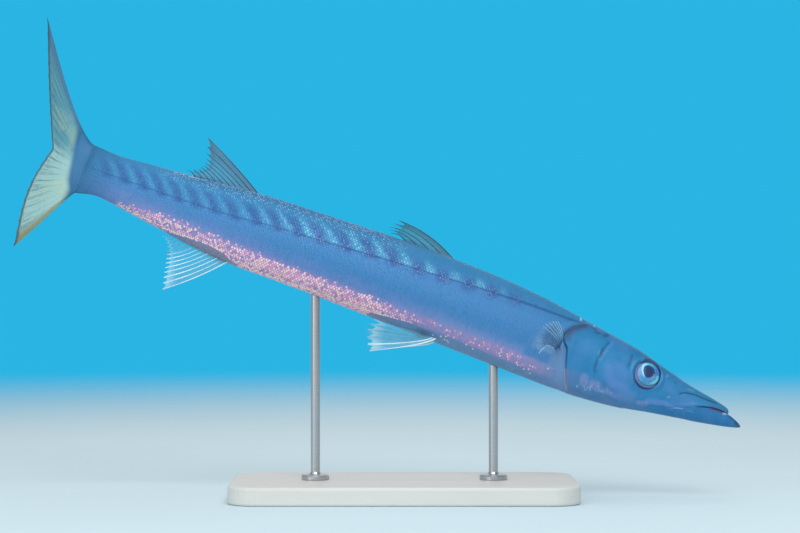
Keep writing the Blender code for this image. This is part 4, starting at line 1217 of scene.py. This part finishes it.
def buildScales():
    roots = scaleRoots()
    shape, tree, finish = scaleShape(), scaleTree(), scaleFinish()
    groups = {}
    for part, start, end in scales["groups"]:
        within = (roots[:, 0] >= start) & (roots[:, 0] < end)
        groups["scales_" + part + "_left"] = within & (roots[:, 1] >= 0)
        groups["scales_" + part + "_right"] = within & (roots[:, 1] < 0)
    for number, (name, chosen) in enumerate(groups.items()):
        coat = rootMesh(name, roots[chosen])
        tilt, spread = math.radians(scales["tilt"]), math.radians(scales["tiltSpread"])
        tree.use(coat, {"Scale shape": shape, "Tilt": tilt, "Tilt spread": spread, "Finish": finish,
                        "Size spread": scales["sizeSpread"], "Seed": scales["seed"] + number})
        mesh = coat.data
        markFish(mesh)
        corner = np.empty(len(mesh.loops), np.int32)
        mesh.loops.foreach_get("vertex_index", corner)
        u = (getAttribute(mesh, "rootU") + getAttribute(mesh, "patchX") * scales["patch"])[corner]
        v = (getAttribute(mesh, "rootV") + getAttribute(mesh, "patchY") * scales["patch"])[corner]
        unwrapped = np.column_stack([u, v]).astype(np.float32)
        mesh.uv_layers.new(name="OFBake").data.foreach_set("uv", unwrapped.ravel())
        for extra in ("rootU", "rootV", "patchX", "patchY", "turn", "stretch"):
            if extra in mesh.attributes:
                mesh.attributes.remove(mesh.attributes[extra])
        finished(coat, slot="body_skin")
        print("stage:", name, int(chosen.sum()), "scales,", len(mesh.polygons), "faces")
    bpy.data.objects.remove(shape, do_unlink=True)


buildScales()


# fins: a thin web between rays that taper and branch towards their tips

fins = {
    "webThick": 0.26, "webTaper": 0.55, "webRoot": 0.9, "notchPower": 2.2, "raySides": 6, "sink": 1.2,
    "merge": 0.000002, "sharp": 60, "stemShare": 0.42, "branchShare": 0.45, "branchSpread": 0.5,
    "branchThick": 0.9, "raySteps": 16,
    "firstDorsal": {
        "above": True, "root": (283, 330), "curl": -2.0, "bow": 4.6, "rays": 5, "split": 0, "thick": 1.15,
        "tipThick": 0.3, "notch": (0.1, 0.34), "rows": 40, "perRay": 10,
        "tips": [(340.5, 60.8), (344.0, 56.6), (346.0, 52.4), (346.0, 49.4), (343.0, 47.0)],
    },
    "secondDorsal": {
        "above": True, "root": (463, 521), "curl": 3.0, "bow": 1.2, "rays": 10, "split": 1, "thick": 1.05,
        "tipThick": 0.2, "notch": (0.03, 0.34), "rows": 30, "perRay": 8,
        "strong": {0: 1.3, 1: 1.15}, "fan": 0.15,
        "tips": [(523.6, 68.2), (519.5, 55.5), (517.0, 47.0), (518.0, 41.5), (521.5, 37.0), (529.0, 33.0)],
    },
    "anal": {
        "above": False, "root": (466, 521), "curl": 3.0, "bow": 1.8, "rays": 13, "split": 1, "thick": 0.9,
        "tipThick": 0.3, "notch": (0.03, 0.22), "rows": 30, "perRay": 8,
        "strong": {0: 1.7, 1: 1.1, 2: 1.5, 4: 1.3}, "fan": 0.15,
        "tips": [(508.5, -74.0), (512.0, -62.0), (514.5, -52.0), (517.0, -43.0), (520.5, -35.5),
                 (526.5, -29.8)],
    },
    "pectoral": {
        "root": ((172.0, 4.8), (174.6, -0.8)), "curve": 1.5, "rays": 13, "split": 0, "thick": 0.7,
        "tipThick": 0.48, "notch": (0.06, 0.02), "rows": 36, "perRay": 6, "strong": {0: 1.2, 12: 2.4},
        "sweep": 1.6, "droop": 7.0,
        "tips": [(12, 4.6, 47), (17, 3.4, 48), (22.5, -1, 46), (23.5, -7, 40), (20, -13, 31),
                 (14, -15.6, 24)],
    },
    "pelvic": {
        "root": ((274, -27.8), (287, -28.0)), "curve": 0.0, "rays": 6, "split": 2, "thick": 1.15,
        "tipThick": 0.24, "notch": (0.04, 0.14), "rows": 30, "perRay": 8,
        "strong": {0: 1.6, 1: 1.3}, "fan": 0.2,
        "tips": [(49, -34, 10), (50, -28, 11), (51, -20, 11), (49, -12, 10), (42, -5, 7)], "farLift": 0.7,
    },
    "tail": {"rays": 21, "split": 3, "thick": 0.85, "tipThick": 0.14, "notch": (0.008, 0.01), "rows": 60,
             "perRay": 8, "strong": {0: 1.9, 20: 1.9}, "wave": 0.0035},
}


def tipCurves(tips):
    last = len(tips) - 1
    return [curveThrough([(i / last, tip[k]) for i, tip in enumerate(tips)]) for k in range(len(tips[0]))]


def medianSheet(data):
    tipAlong, tipHeight = tipCurves(data["tips"])
    lineOf = backAt if data["above"] else bellyAt
    sign = 1 if data["above"] else -1

    def sheet(u, t):
        u, t = paired(u, t)
        start = blend(*data["root"], u)
        baseHeight = lineOf(start)
        endAlong, endHeight = tipAlong(u), tipHeight(u)
        reach = np.hypot(endAlong - start, endHeight - baseHeight)
        bend = sign * data["bow"] * 4 * t * (1 - t) * (1 - 0.5 * u) * (t > 0)
        along = blend(start, endAlong, t) - (endHeight - baseHeight) / reach * bend
        height = blend(baseHeight, endHeight, t) + (endAlong - start) / reach * bend
        return place(along, data["curl"] * t * np.abs(t) * (1 - 0.5 * u), height)

    return sheet


def pairedSheet(data, sign, lift=1.0):
    tipBack, tipUp, tipOut = tipCurves(data["tips"])
    (a0, h0), (a1, h1) = data["root"]
    samples = np.linspace(0, 1, 9)
    roots = [skinPoint(blend(a0, a1, s), blend(h0, h1, s), sign) for s in samples]
    spots, outs = (np.array([root[i] for root in roots]) for i in (0, 1))

    def between(at, rows):
        return np.stack([np.interp(at, samples, rows[:, k]) for k in range(3)], axis=-1)

    def sheet(u, t):
        u, t = paired(u, t)
        at = np.clip(u, 0, 1)
        power = np.sign(t) * np.abs(t) ** data.get("sweep", 1.25)
        droop = data.get("droop", 0.0) * np.sin(np.pi * np.clip(t, 0, 1) ** 2.2) * at ** 3
        reach = np.stack([-tipBack(at) * power, sign * tipOut(at) * t, tipUp(at) * lift * t + droop], axis=-1)
        curve = data["curve"] * np.sin(np.pi * t) * (t > 0)
        return between(at, spots) + reach + between(at, outs) * curve[..., None]

    return sheet


def rayAt(data, i):
    return min(max((i + 0.15) / (data["rays"] - 0.7), 0.0), 1.0)


def rayLines(data, sheet, sink):
    # (u, t) points of every ray's stem and branches, with their thickness
    count, length = data["rays"], rayLength(sheet)
    strong, sway = data.get("strong", {}), data.get("wave", 0.0)
    lines = []

    def grow(u, t0, spread, thick, left, stem):
        t1 = 1.0 if left == 0 else t0 + (1 - t0) * fins["stemShare" if stem else "branchShare"]
        steps = max(4, round((t1 - t0) * fins["raySteps"]))
        for side in ((0,) if stem else (-1, 1)):
            t = np.linspace(t0, t1, steps + 1)
            share = (t - t0) / (1 - t0)
            drift = smoothStep(share * 1.2) * 0.5 + 0.5 * share
            line = u + side * spread * drift + sway * np.sin(9 * t + 40 * u + side) * np.maximum(t, 0)
            line = np.clip(line, 0, 1)
            lines.append((line, t, blend(thick, data["tipThick"], np.clip(t, 0, 1) ** 0.9)))
            if left:
                narrow, thin = spread * fins["branchSpread"], thick * fins["branchThick"]
                grow(line[-1], t1 - 0.01, narrow, thin, left - 1, False)

    for i in range(count):
        splits = 0 if i in (0, count - 1) else data["split"]
        u, thick = rayAt(data, i), data["thick"] * strong.get(i, 1.0)
        grow(u, -sink / length(u), data.get("fan", 0.27) / count, thick, splits, True)
    return lines


def rayLength(sheet):
    def length(u):
        return float(np.linalg.norm(sheet(u, 1.0) - sheet(u, 0.0)))
    return length


def rayTree():
    tree = Tree("draw rays", {"Sides": "Int", "Finish": "Material"})
    given = tree.given
    radius = tree.node("GeometryNodeInputNamedAttribute", {"data_type": "FLOAT"}, {"Name": "thick"})
    curves = tree.node("GeometryNodeMeshToCurve", {}, {"Mesh": given["Geometry"]})
    ring = tree.node("GeometryNodeCurvePrimitiveCircle", {}, {"Resolution": given["Sides"], "Radius": 1.0})
    tubes = tree.node("GeometryNodeCurveToMesh", {}, {"Curve": curves, "Profile Curve": ring, "Scale": radius,
                                                      "Fill Caps": True})
    tree.finish(tree.node("GeometryNodeSetShadeSmooth", {}, {"Geometry": tubes}))
    return tree


def markFin(mesh):
    along, _, height = fishCoordinates(toFish(worldPoints(mesh)))
    putAttributes(mesh, {"along": along, "height": height, "past": along - body["stemEnd"] - fleshAt(height)})


def makeRays(name, lines, sheet, tree, finish):
    points, edges, thick, span, reach = [], [], [], [], []
    for u, t, width in lines:
        start = len(points)
        points += sheet(u, t).tolist()
        edges += [(start + i, start + i + 1) for i in range(len(u) - 1)]
        thick += list(width * mm / 2)
        span += list(u)
        reach += list(t)
    mesh = newMesh(name, points, edges, [])
    putAttributes(mesh, {"thick": thick, "span": span, "reach": reach})
    rays = linked(name, mesh)
    tree.use(rays, {"Sides": fins["raySides"], "Finish": finish})
    mesh = rays.data
    tidyMesh(mesh, fins["merge"])
    mesh.attributes.remove(mesh.attributes["thick"])
    markFin(mesh)
    return rays


def makeWeb(name, data, sheet, finish, sink):
    rows, columns = data["rows"], data["rays"] * data["perRay"] + 1
    u = np.linspace(0, 1, columns)[None, :]
    v = np.linspace(0, 1, rows + 1)[:, None]
    rayPlaces = [rayAt(data, i) for i in range(data["rays"])]
    phase = np.interp(u, rayPlaces, np.arange(data["rays"])) % 1.0
    notch = blend(*data["notch"], u)
    t = v * (1 - notch * (1 - np.abs(2 * phase - 1) ** fins["notchPower"])) - sink * (1 - v)
    here = sheet(u, t)
    thin = fins["webThick"] * (1 - fins["webTaper"] * v)
    thin = thin * np.minimum(1, 0.35 + 8 * np.minimum(u, 1 - u)) + fins["webRoot"] * (1 - v) ** 6
    half = sheetNormal(sheet, u, t) * (thin / 2)[..., None]
    points = np.concatenate([(here + half).reshape(-1, 3), (here - half).reshape(-1, 3)])
    count = here.shape[0] * here.shape[1]
    faces = gridFaces(rows + 1, columns) + gridFaces(rows + 1, columns, start=count)
    border = ([(0, c) for c in range(columns)] + [(r, columns - 1) for r in range(1, rows + 1)]
              + [(rows, c) for c in range(columns - 2, -1, -1)] + [(r, 0) for r in range(rows - 1, 0, -1)])
    for (r0, c0), (r1, c1) in zip(border, border[1:] + border[:1]):
        a, b = r0 * columns + c0, r1 * columns + c1
        faces.append([a, b, b + count, a + count])
    mesh = newMesh(name, points, [], faces)
    values = {"span": u + 0 * v, "reach": t, "rim": v + 0 * u}
    putAttributes(mesh, {key: np.tile(value.ravel(), 2) for key, value in values.items()})
    tidyMesh(mesh, fins["merge"])
    mesh.shade_smooth()
    mesh.set_sharp_from_angle(angle=math.radians(fins["sharp"]))
    mesh.materials.append(finish)
    markFin(mesh)
    return linked(name, mesh)


finColours = {
    # the front part of a fin is denser than the rest; "quiet" is where along the span its rays hardly show
    "firstDorsal": {
        **palette(web=(64, 144, 170), front=(60, 118, 142), ray=(46, 74, 94), tip=(44, 70, 92),
                  root=(48, 66, 92)),
        "alpha": 0.5, "frontAlpha": 0.7, "streak": 0.7, "quiet": (2.0, 3.0),
    },
    "secondDorsal": {
        **palette(web=(58, 138, 174), front=(62, 116, 148), ray=(42, 64, 88), tip=(40, 60, 84),
                  root=(48, 66, 92)),
        "alpha": 0.5, "frontAlpha": 0.62, "streak": 0.3, "quiet": (2.0, 3.0),
    },
    "anal": {
        **palette(web=(96, 176, 208), front=(96, 172, 204), ray=(196, 230, 240), tip=(236, 247, 249)),
        "alpha": 0.2, "frontAlpha": 0.34, "streak": 0.2, "quiet": (0.66, 1.3),
    },
    "pectoral": {
        **palette(web=(94, 132, 176), front=(72, 128, 172), ray=(90, 146, 186), tip=(180, 228, 242)),
        "alpha": 0.5, "frontAlpha": 0.3, "streak": 0.2, "quiet": (0.52, 0.86), "fade": 0.85,
    },
    "pelvic": {
        **palette(web=(100, 178, 208), front=(104, 182, 212), ray=(226, 242, 246), tip=(226, 242, 246),
                  root=(100, 98, 120)),
        "alpha": 0.28, "frontAlpha": 0.45, "streak": 0.2, "quiet": (0.36, 1.3),
    },
}


def webFinish(name, c):
    f = Finish(name + " web")
    span, reach, rim = f.attributes("span", "reach", "rim")
    cloud = f.noise(f.place(), 60.0, 3.0)
    fibre = f.noise(f.combine(span * 240, reach * 3, 0.0), 1.0, 2.0)
    front = f.soft(span, 0.34, 0.08)
    # base darkens the root of the fin's rear part, on the pelvic fins as painted shade where the fin meets
    # the body; the front colour near every root is painted shade too
    base = f.soft(reach, 0.34, 0.06) * f.soft(span, 0.35, 0.8)
    shade = f.cover(
        "web", c, ("front", front), ("ray", f.soft(fibre, 0.5, 0.8) * c["streak"]),
        ("tip", f.soft(rim + (cloud - 0.5) * 0.1, 0.8, 1.0) * 0.5), ("front", f.soft(reach, 0.3, 0.0) * 0.5),
        ("root" if "root" in c else "web", base * 0.85))
    see = c["alpha"] + (c["frontAlpha"] - c["alpha"]) * front + 0.25 * (fibre - 0.5)
    see = see + 0.4 * f.soft(reach, 0.12, 0.0)
    see = see * (1 - f.soft(reach, 0.68, 0.98) * (1 - front) * c.get("fade", 0.0))
    return f.surface({"Base Color": shade, "Roughness": 0.34 + 0.12 * cloud, "Alpha": f.capped(see),
                      "Specular IOR Level": 0.35, "Normal": f.bump(fibre, 0.25, 0.0003)})


def rayFinish(name, c):
    f = Finish(name + " ray")
    span, reach = f.attributes("span", "reach")
    joints = f.node("ShaderNodeTexWave", {"wave_type": "BANDS", "bands_direction": "X"},
                    {"Vector": f.combine(reach * 60, 0.0, 0.0), "Scale": 0.35})
    cloud = f.noise(f.place(), 90.0, 2.0)
    quiet = f.band(span, *c["quiet"], 0.12)
    fading = f.soft(reach, 0.7, 0.98) * f.soft(span, 0.15, 0.5) * f.soft(span, 0.97, 0.9) * c.get("fade", 0.0)
    shade = f.cover("ray", c, ("tip", f.soft(reach + (cloud - 0.5) * 0.2, 0.2, 0.65)),
                    ("web", f.soft(joints, 0.8, 1.0) * 0.3), ("web", quiet * 0.85))
    return f.surface({"Base Color": shade, "Roughness": 0.3 + 0.15 * cloud, "Specular IOR Level": 0.4,
                      "Alpha": (1 - quiet * 0.7) * (1 - fading), "Normal": f.bump(joints, 0.3, 0.0002)})


def tailWebFinish():
    f = Finish("tail web")
    span, reach, rim, past, height = f.attributes("span", "reach", "rim", "past", "height")
    cloud = f.noise(f.place(), 45.0, 3.0)
    fibre = f.noise(f.combine(span * 300, reach * 4, 0.0), 1.0, 2.0)
    fine = f.noise(f.combine(span * 150 + reach * 6 + cloud, reach * 3, 0.0), 1.0, 1.0)
    band = f.soft(span, 0.15, 0.03)
    streak = f.soft(fibre, 0.45, 0.75) * f.soft(reach, 0.25, 0.7) * 0.3
    streak = streak + f.soft(fine, 0.5, 0.68) * f.soft(reach, 0.5, 0.85) * 0.5
    tips = f.soft(reach, 0.9, 1.0) * (1 - f.band(span, 0.16, 0.86, 0.12))
    margin = f.maths("MAXIMUM", f.soft(rim + (cloud - 0.5) * 0.03, 0.94, 0.975), tips)
    flesh = f.soft(past, 4.0, -4.0)
    fleshShade = f.cover("tailFlesh", colours, ("webBand", f.soft(height, 18.0, 40.0)),
                         ("webStreak", f.soft(fibre, 0.4, 0.7) * 0.6))
    shade = f.cover(tailColour(f, height, cloud), colours, ("webBand", band * 0.85), ("webStreak", streak),
                    ("webFringe", f.soft(span, 0.925, 0.985) * 0.75), ("webMargin", margin * 0.85),
                    (fleshShade, flesh))
    see = 0.82 + 0.1 * fibre + margin * 0.2 + (flesh + band) * 0.3
    return f.surface({"Base Color": shade, "Roughness": 0.38 + 0.12 * cloud, "Alpha": f.capped(see),
                      "Specular IOR Level": 0.3, "Normal": f.bump(fibre, 0.35, 0.0004)})


def tailRayFinish():
    f = Finish("tail ray")
    span, reach, past, height = f.attributes("span", "reach", "past", "height")
    cloud = f.noise(f.place(), 45.0, 3.0)
    streak = f.soft(reach, 0.3, 0.85) * (0.4 + 0.4 * f.band(span, 0.25, 0.75, 0.15))
    fleshShade = f.cover("tailFlesh", colours, ("webBand", f.soft(height, 18.0, 40.0)))
    shade = f.cover(
        tailColour(f, height, cloud), colours, ("webStreak", streak),
        ("webBand", f.soft(span, 0.22, 0.05) * 0.9), ("webFringe", f.soft(span, 0.94, 0.99) * 0.8),
        ("webMargin", f.soft(reach, 0.93, 0.98) * 0.8),
        (fleshShade, f.soft(past, 4.0, -4.0)))
    grain = f.noise(f.combine(reach * 90, span * 60, 0.0), 1.0)
    return f.surface({"Base Color": shade, "Roughness": 0.36 + 0.1 * cloud, "Specular IOR Level": 0.3,
                      "Normal": f.bump(grain, 0.3, 0.0002)})


def buildFin(name, data, sheet, finishes, tree, nodes, slot):
    web, ray = finishes
    sink = fins["sink"] / rayLength(sheet)(0.3)
    pieces = [makeWeb(name + "_web", data, sheet, web, sink),
              makeRays(name + "_rays", rayLines(data, sheet, fins["sink"]), sheet, tree, ray)]
    for piece in pieces:
        finished(piece, *nodes, slot=slot)


def buildFins():
    tree = rayTree()
    made = {key: (webFinish(key, c), rayFinish(key, c)) for key, c in finColours.items()}
    for name, key, slot in (("dorsal_fin_first", "firstDorsal", "dark_fin"),
                            ("dorsal_fin_second", "secondDorsal", "dark_fin"),
                            ("anal_fin", "anal", "pale_fin")):
        buildFin(name, fins[key], medianSheet(fins[key]), made[key], tree, [name], slot)
    for sign, side in ((1, "left"), (-1, "right")):
        for key in ("pectoral", "pelvic"):
            name = key + "_fin_" + side
            data = fins[key]
            lift = data.get("farLift", 1.0) if sign > 0 else 1.0
            buildFin(name, data, pairedSheet(data, sign, lift), made[key], tree, [name], "pale_fin")
    buildFin("caudal_fin", fins["tail"], tailSheet, (tailWebFinish(), tailRayFinish()), tree,
             ["caudal_fin_upper", "caudal_fin_lower"], "tail_fin")


buildFins()
print("stage: fins")


# the eyes: a flattened ball with a painted iris under a clear coat

eyeColours = palette(
    iris=(66, 136, 184), irisPale=(98, 160, 202), frontUpper=(58, 118, 192), top=(70, 178, 208),
    glow=(150, 220, 246), lavender=(120, 148, 200), crescent=(110, 202, 220), lilac=(136, 130, 176),
    line=(46, 84, 130), ringPale=(104, 130, 166), ring=(34, 54, 100), violet=(60, 66, 136),
    pupil=(44, 70, 114), pupilDeep=(34, 54, 98), spot=(118, 132, 126),
)


def eyeFinish():
    f = Finish("eye")
    forward, up = f.attributes("eyeForward", "eyeUp")
    away = f.length(f.combine(forward, up, 0.0))
    pupilY = (up - 1.9) * 0.87
    pupilX = (forward + 0.45 + 0.06 * pupilY) / (1 + 0.035 * pupilY)
    point = f.soft(forward, 0.0, 5.0) * f.band(up, 0.8, 2.4, 2.4)
    pupilAway = f.length(f.combine(pupilX, pupilY, 0.0)) - 0.8 * point
    angle = f.maths("ARCTAN2", pupilY, pupilX)
    streak = f.noise(f.combine(angle * 7, pupilAway * 0.3, 0.0), 1.0, 3.0)
    blotch = f.noise(f.combine(forward * 0.28, up * 0.28, 0.0), 1.0, 2.0)
    glow = f.band(pupilAway, 5.3, 6.3, 0.6) * f.soft(forward, -1.5, -4.5) * f.band(up, -4.0, 7.0, 3.0)
    crescent = f.band(away, 8.2, 9.4, 0.9) * f.soft(forward, 2.5, 6.0) * f.band(up, -6.0, 0.5, 2.5)
    lowRear = f.soft(forward * -0.7 - up, -3.0, 3.0)
    shade = f.cover(
        "iris", eyeColours, ("irisPale", f.soft(streak * 0.5 + blotch * 0.5, 0.4, 0.62)),
        ("frontUpper", f.soft(forward, 1.5, 6.5) * f.soft(up, -1.0, 4.0) * 0.8),
        ("top", f.soft(up, 6.5, 9.0) * f.soft(forward, 5.0, -2.0) * 0.85),
        ("lavender", f.soft(forward, -5.5, -7.5) * 0.8), ("glow", glow * (0.75 + 0.25 * streak)),
        ("crescent", crescent * 0.9), ("lilac", f.spot(forward, up, (3.6, -1.2), 0.6, 1.8) * 0.75),
        ("ring", f.soft(away, 10.0, 10.7)), ("line", f.band(away, 9.7, 10.0, 0.35) * lowRear * 0.8),
        ("ringPale", f.band(away, 10.5, 11.7, 0.4) * lowRear * (0.6 + 0.35 * blotch)),
        ("violet", f.soft(away, 11.6, 12.2) * f.soft(forward - up, 4.0, 12.0) * 0.7),
        ("pupil", f.soft(pupilAway, 5.3, 4.7)), ("pupilDeep", f.soft(pupilAway, 4.6, 2.2) * 0.6),
        ("spot", f.spot(forward, up, (4.7, 1.0), 0.4, 0.9) * 0.9))
    return f.surface({"Base Color": shade, "Roughness": 0.36 + 0.12 * streak, "Metallic": 0.05,
                      "Coat Weight": 0.35, "Coat Roughness": 0.05, "Coat IOR": 1.35,
                      "Specular IOR Level": 0.1, "Normal": f.bump(streak, 0.12, 0.0002)})


def buildEyes():
    finish = eyeFinish()
    for sign, side in ((1, "left"), (-1, "right")):
        centre, outward = eyeCentre(sign)
        points = ballPoints(centre, outward, eye["radius"], eye["halfDepth"], *eye["steps"])
        ball = ballMesh("eye_ball_" + side, [points])
        local = toFish(worldPoints(ball.data)) - centre
        forward, up = uprightFrame(outward)
        forward *= np.sign(forward[0])
        putAttributes(ball.data, {"eyeForward": local @ forward, "eyeUp": local @ up})
        ball.data.materials.append(finish)
        finished(ball, "eye_" + side, slot="eye")


buildEyes()
print("stage: eyes")


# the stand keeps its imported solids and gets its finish

def baseFinish():
    f = Finish("satin base")
    grain = f.noise(f.place((2.0, 30.0, 30.0)), 3.0, 5.0, 0.6)
    speck = f.noise(f.place(), 900.0, 2.0)
    shade = f.mix(paint(206, 205, 200), paint(222, 221, 216), grain)
    return f.surface({"Base Color": shade, "Roughness": 0.42 + 0.1 * speck, "Coat Weight": 0.1,
                      "Normal": f.bump(speck, 0.06, 0.0002)})


def rodFinish():
    f = Finish("brushed steel")
    rings = f.noise(f.place((1.0, 1.0, 900.0)), 2.0, 3.0)
    shade = f.mix(paint(176, 178, 182), paint(206, 208, 210), rings)
    return f.surface({"Base Color": shade, "Metallic": 1.0, "Roughness": 0.26 + 0.14 * rings,
                      "Normal": f.bump(rings, 0.12, 0.0001)})


def dressStand():
    steel = rodFinish()
    for name, finish in (("stand_base", baseFinish()), ("stand_rod_front", steel), ("stand_rod_rear", steel)):
        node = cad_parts[name]
        for slot in node.material_slots:
            slot.material = finish
        if not node.material_slots:
            node.data.materials.append(finish)


dressStand()
print("stage: stand")


# floor, light and camera

studio = {
    "floorRings": (0.4, 0.9, 1.6, 2.4, 3.2), "floorSides": 96, "floorFade": (0.7, 2.6),
    "backdrop": paint(42, 180, 227), "air": paint(222, 232, 238), "ambient": 0.5, "lookAt": (0, 0, 0.2),
    "lights": {
        "key": ((0.25, -1.8, 1.9), 1.5, 34.0, (1.0, 0.99, 0.97)),
        "fill": ((-1.5, -1.8, 0.9), 1.6, 14.0, (0.97, 0.985, 1.0)),
        "top": ((0.0, 0.2, 1.9), 1.8, 9.0, (1.0, 1.0, 1.0)),
        "behind": ((0.3, 2.0, 1.2), 1.6, 4.0, (0.98, 0.99, 1.0)),
    },
    "camera": (-3.5, -2000.0, 201.4), "focalPixels": 2298.9, "imageWidth": 800, "sensor": 36.0,
}


def buildFloor():
    sides, rings = studio["floorSides"], studio["floorRings"]
    turns = np.linspace(0, 2 * np.pi, sides, endpoint=False)
    points = [(0.0, 0.0, 0.0)] + [(r * math.cos(a), r * math.sin(a), 0.0) for r in rings for a in turns]
    faces = [(0, 1 + i, 1 + (i + 1) % sides) for i in range(sides)]
    faces += [face[::-1] for face in gridFaces(len(rings), sides, start=1, wrap=True)]
    mesh = bpy.data.meshes.new("floor")
    mesh.from_pydata(points, [], faces)
    f = Finish("pale floor")
    spot = f.place()
    shade = f.mix(paint(206, 226, 234), paint(212, 232, 238), f.noise(spot, 3.0, 3.0))
    see = 1 - f.soft(f.length(spot), *studio["floorFade"])
    mesh.materials.append(f.surface({"Base Color": shade, "Roughness": 0.7, "Alpha": see}))
    linked("floor", mesh)


def lightStage():
    # the camera sees the coloured backdrop, and the light comes from pale air and four lamps
    f = Finish("studio air", world=True)
    seen = f.node("ShaderNodeLightPath")
    strength = studio["ambient"] + (1.0 - studio["ambient"]) * seen
    colour = f.mix(studio["air"], studio["backdrop"], seen)
    air = f.node("ShaderNodeBackground", {}, {"Color": colour, "Strength": strength})
    f.node("ShaderNodeOutputWorld", {}, {"Surface": air})
    bpy.context.scene.world = f.made
    for name, (spot, size, power, colour) in studio["lights"].items():
        light = bpy.data.lights.new(name, "AREA")
        light.shape = "SQUARE"
        light.size = size
        light.energy = power
        light.color = colour
        lamp = linked(name, light)
        lamp.location = spot
        lamp.rotation_euler = (Vector(studio["lookAt"]) - Vector(spot)).to_track_quat("-Z", "Y").to_euler()


def placeCamera():
    lens = bpy.data.cameras.new("photo camera")
    lens.sensor_width = studio["sensor"]
    lens.lens = studio["focalPixels"] * studio["sensor"] / studio["imageWidth"]
    lens.clip_start, lens.clip_end = 0.05, 50
    camera = linked("photo_camera", lens)
    camera.location = Vector(studio["camera"]) * mm
    camera.rotation_euler = (math.pi / 2, 0, 0)
    bpy.context.scene.camera = camera


buildFloor()
lightStage()
placeCamera()
bpy.context.scene.view_settings.view_transform = "Standard"
print("stage: studio")
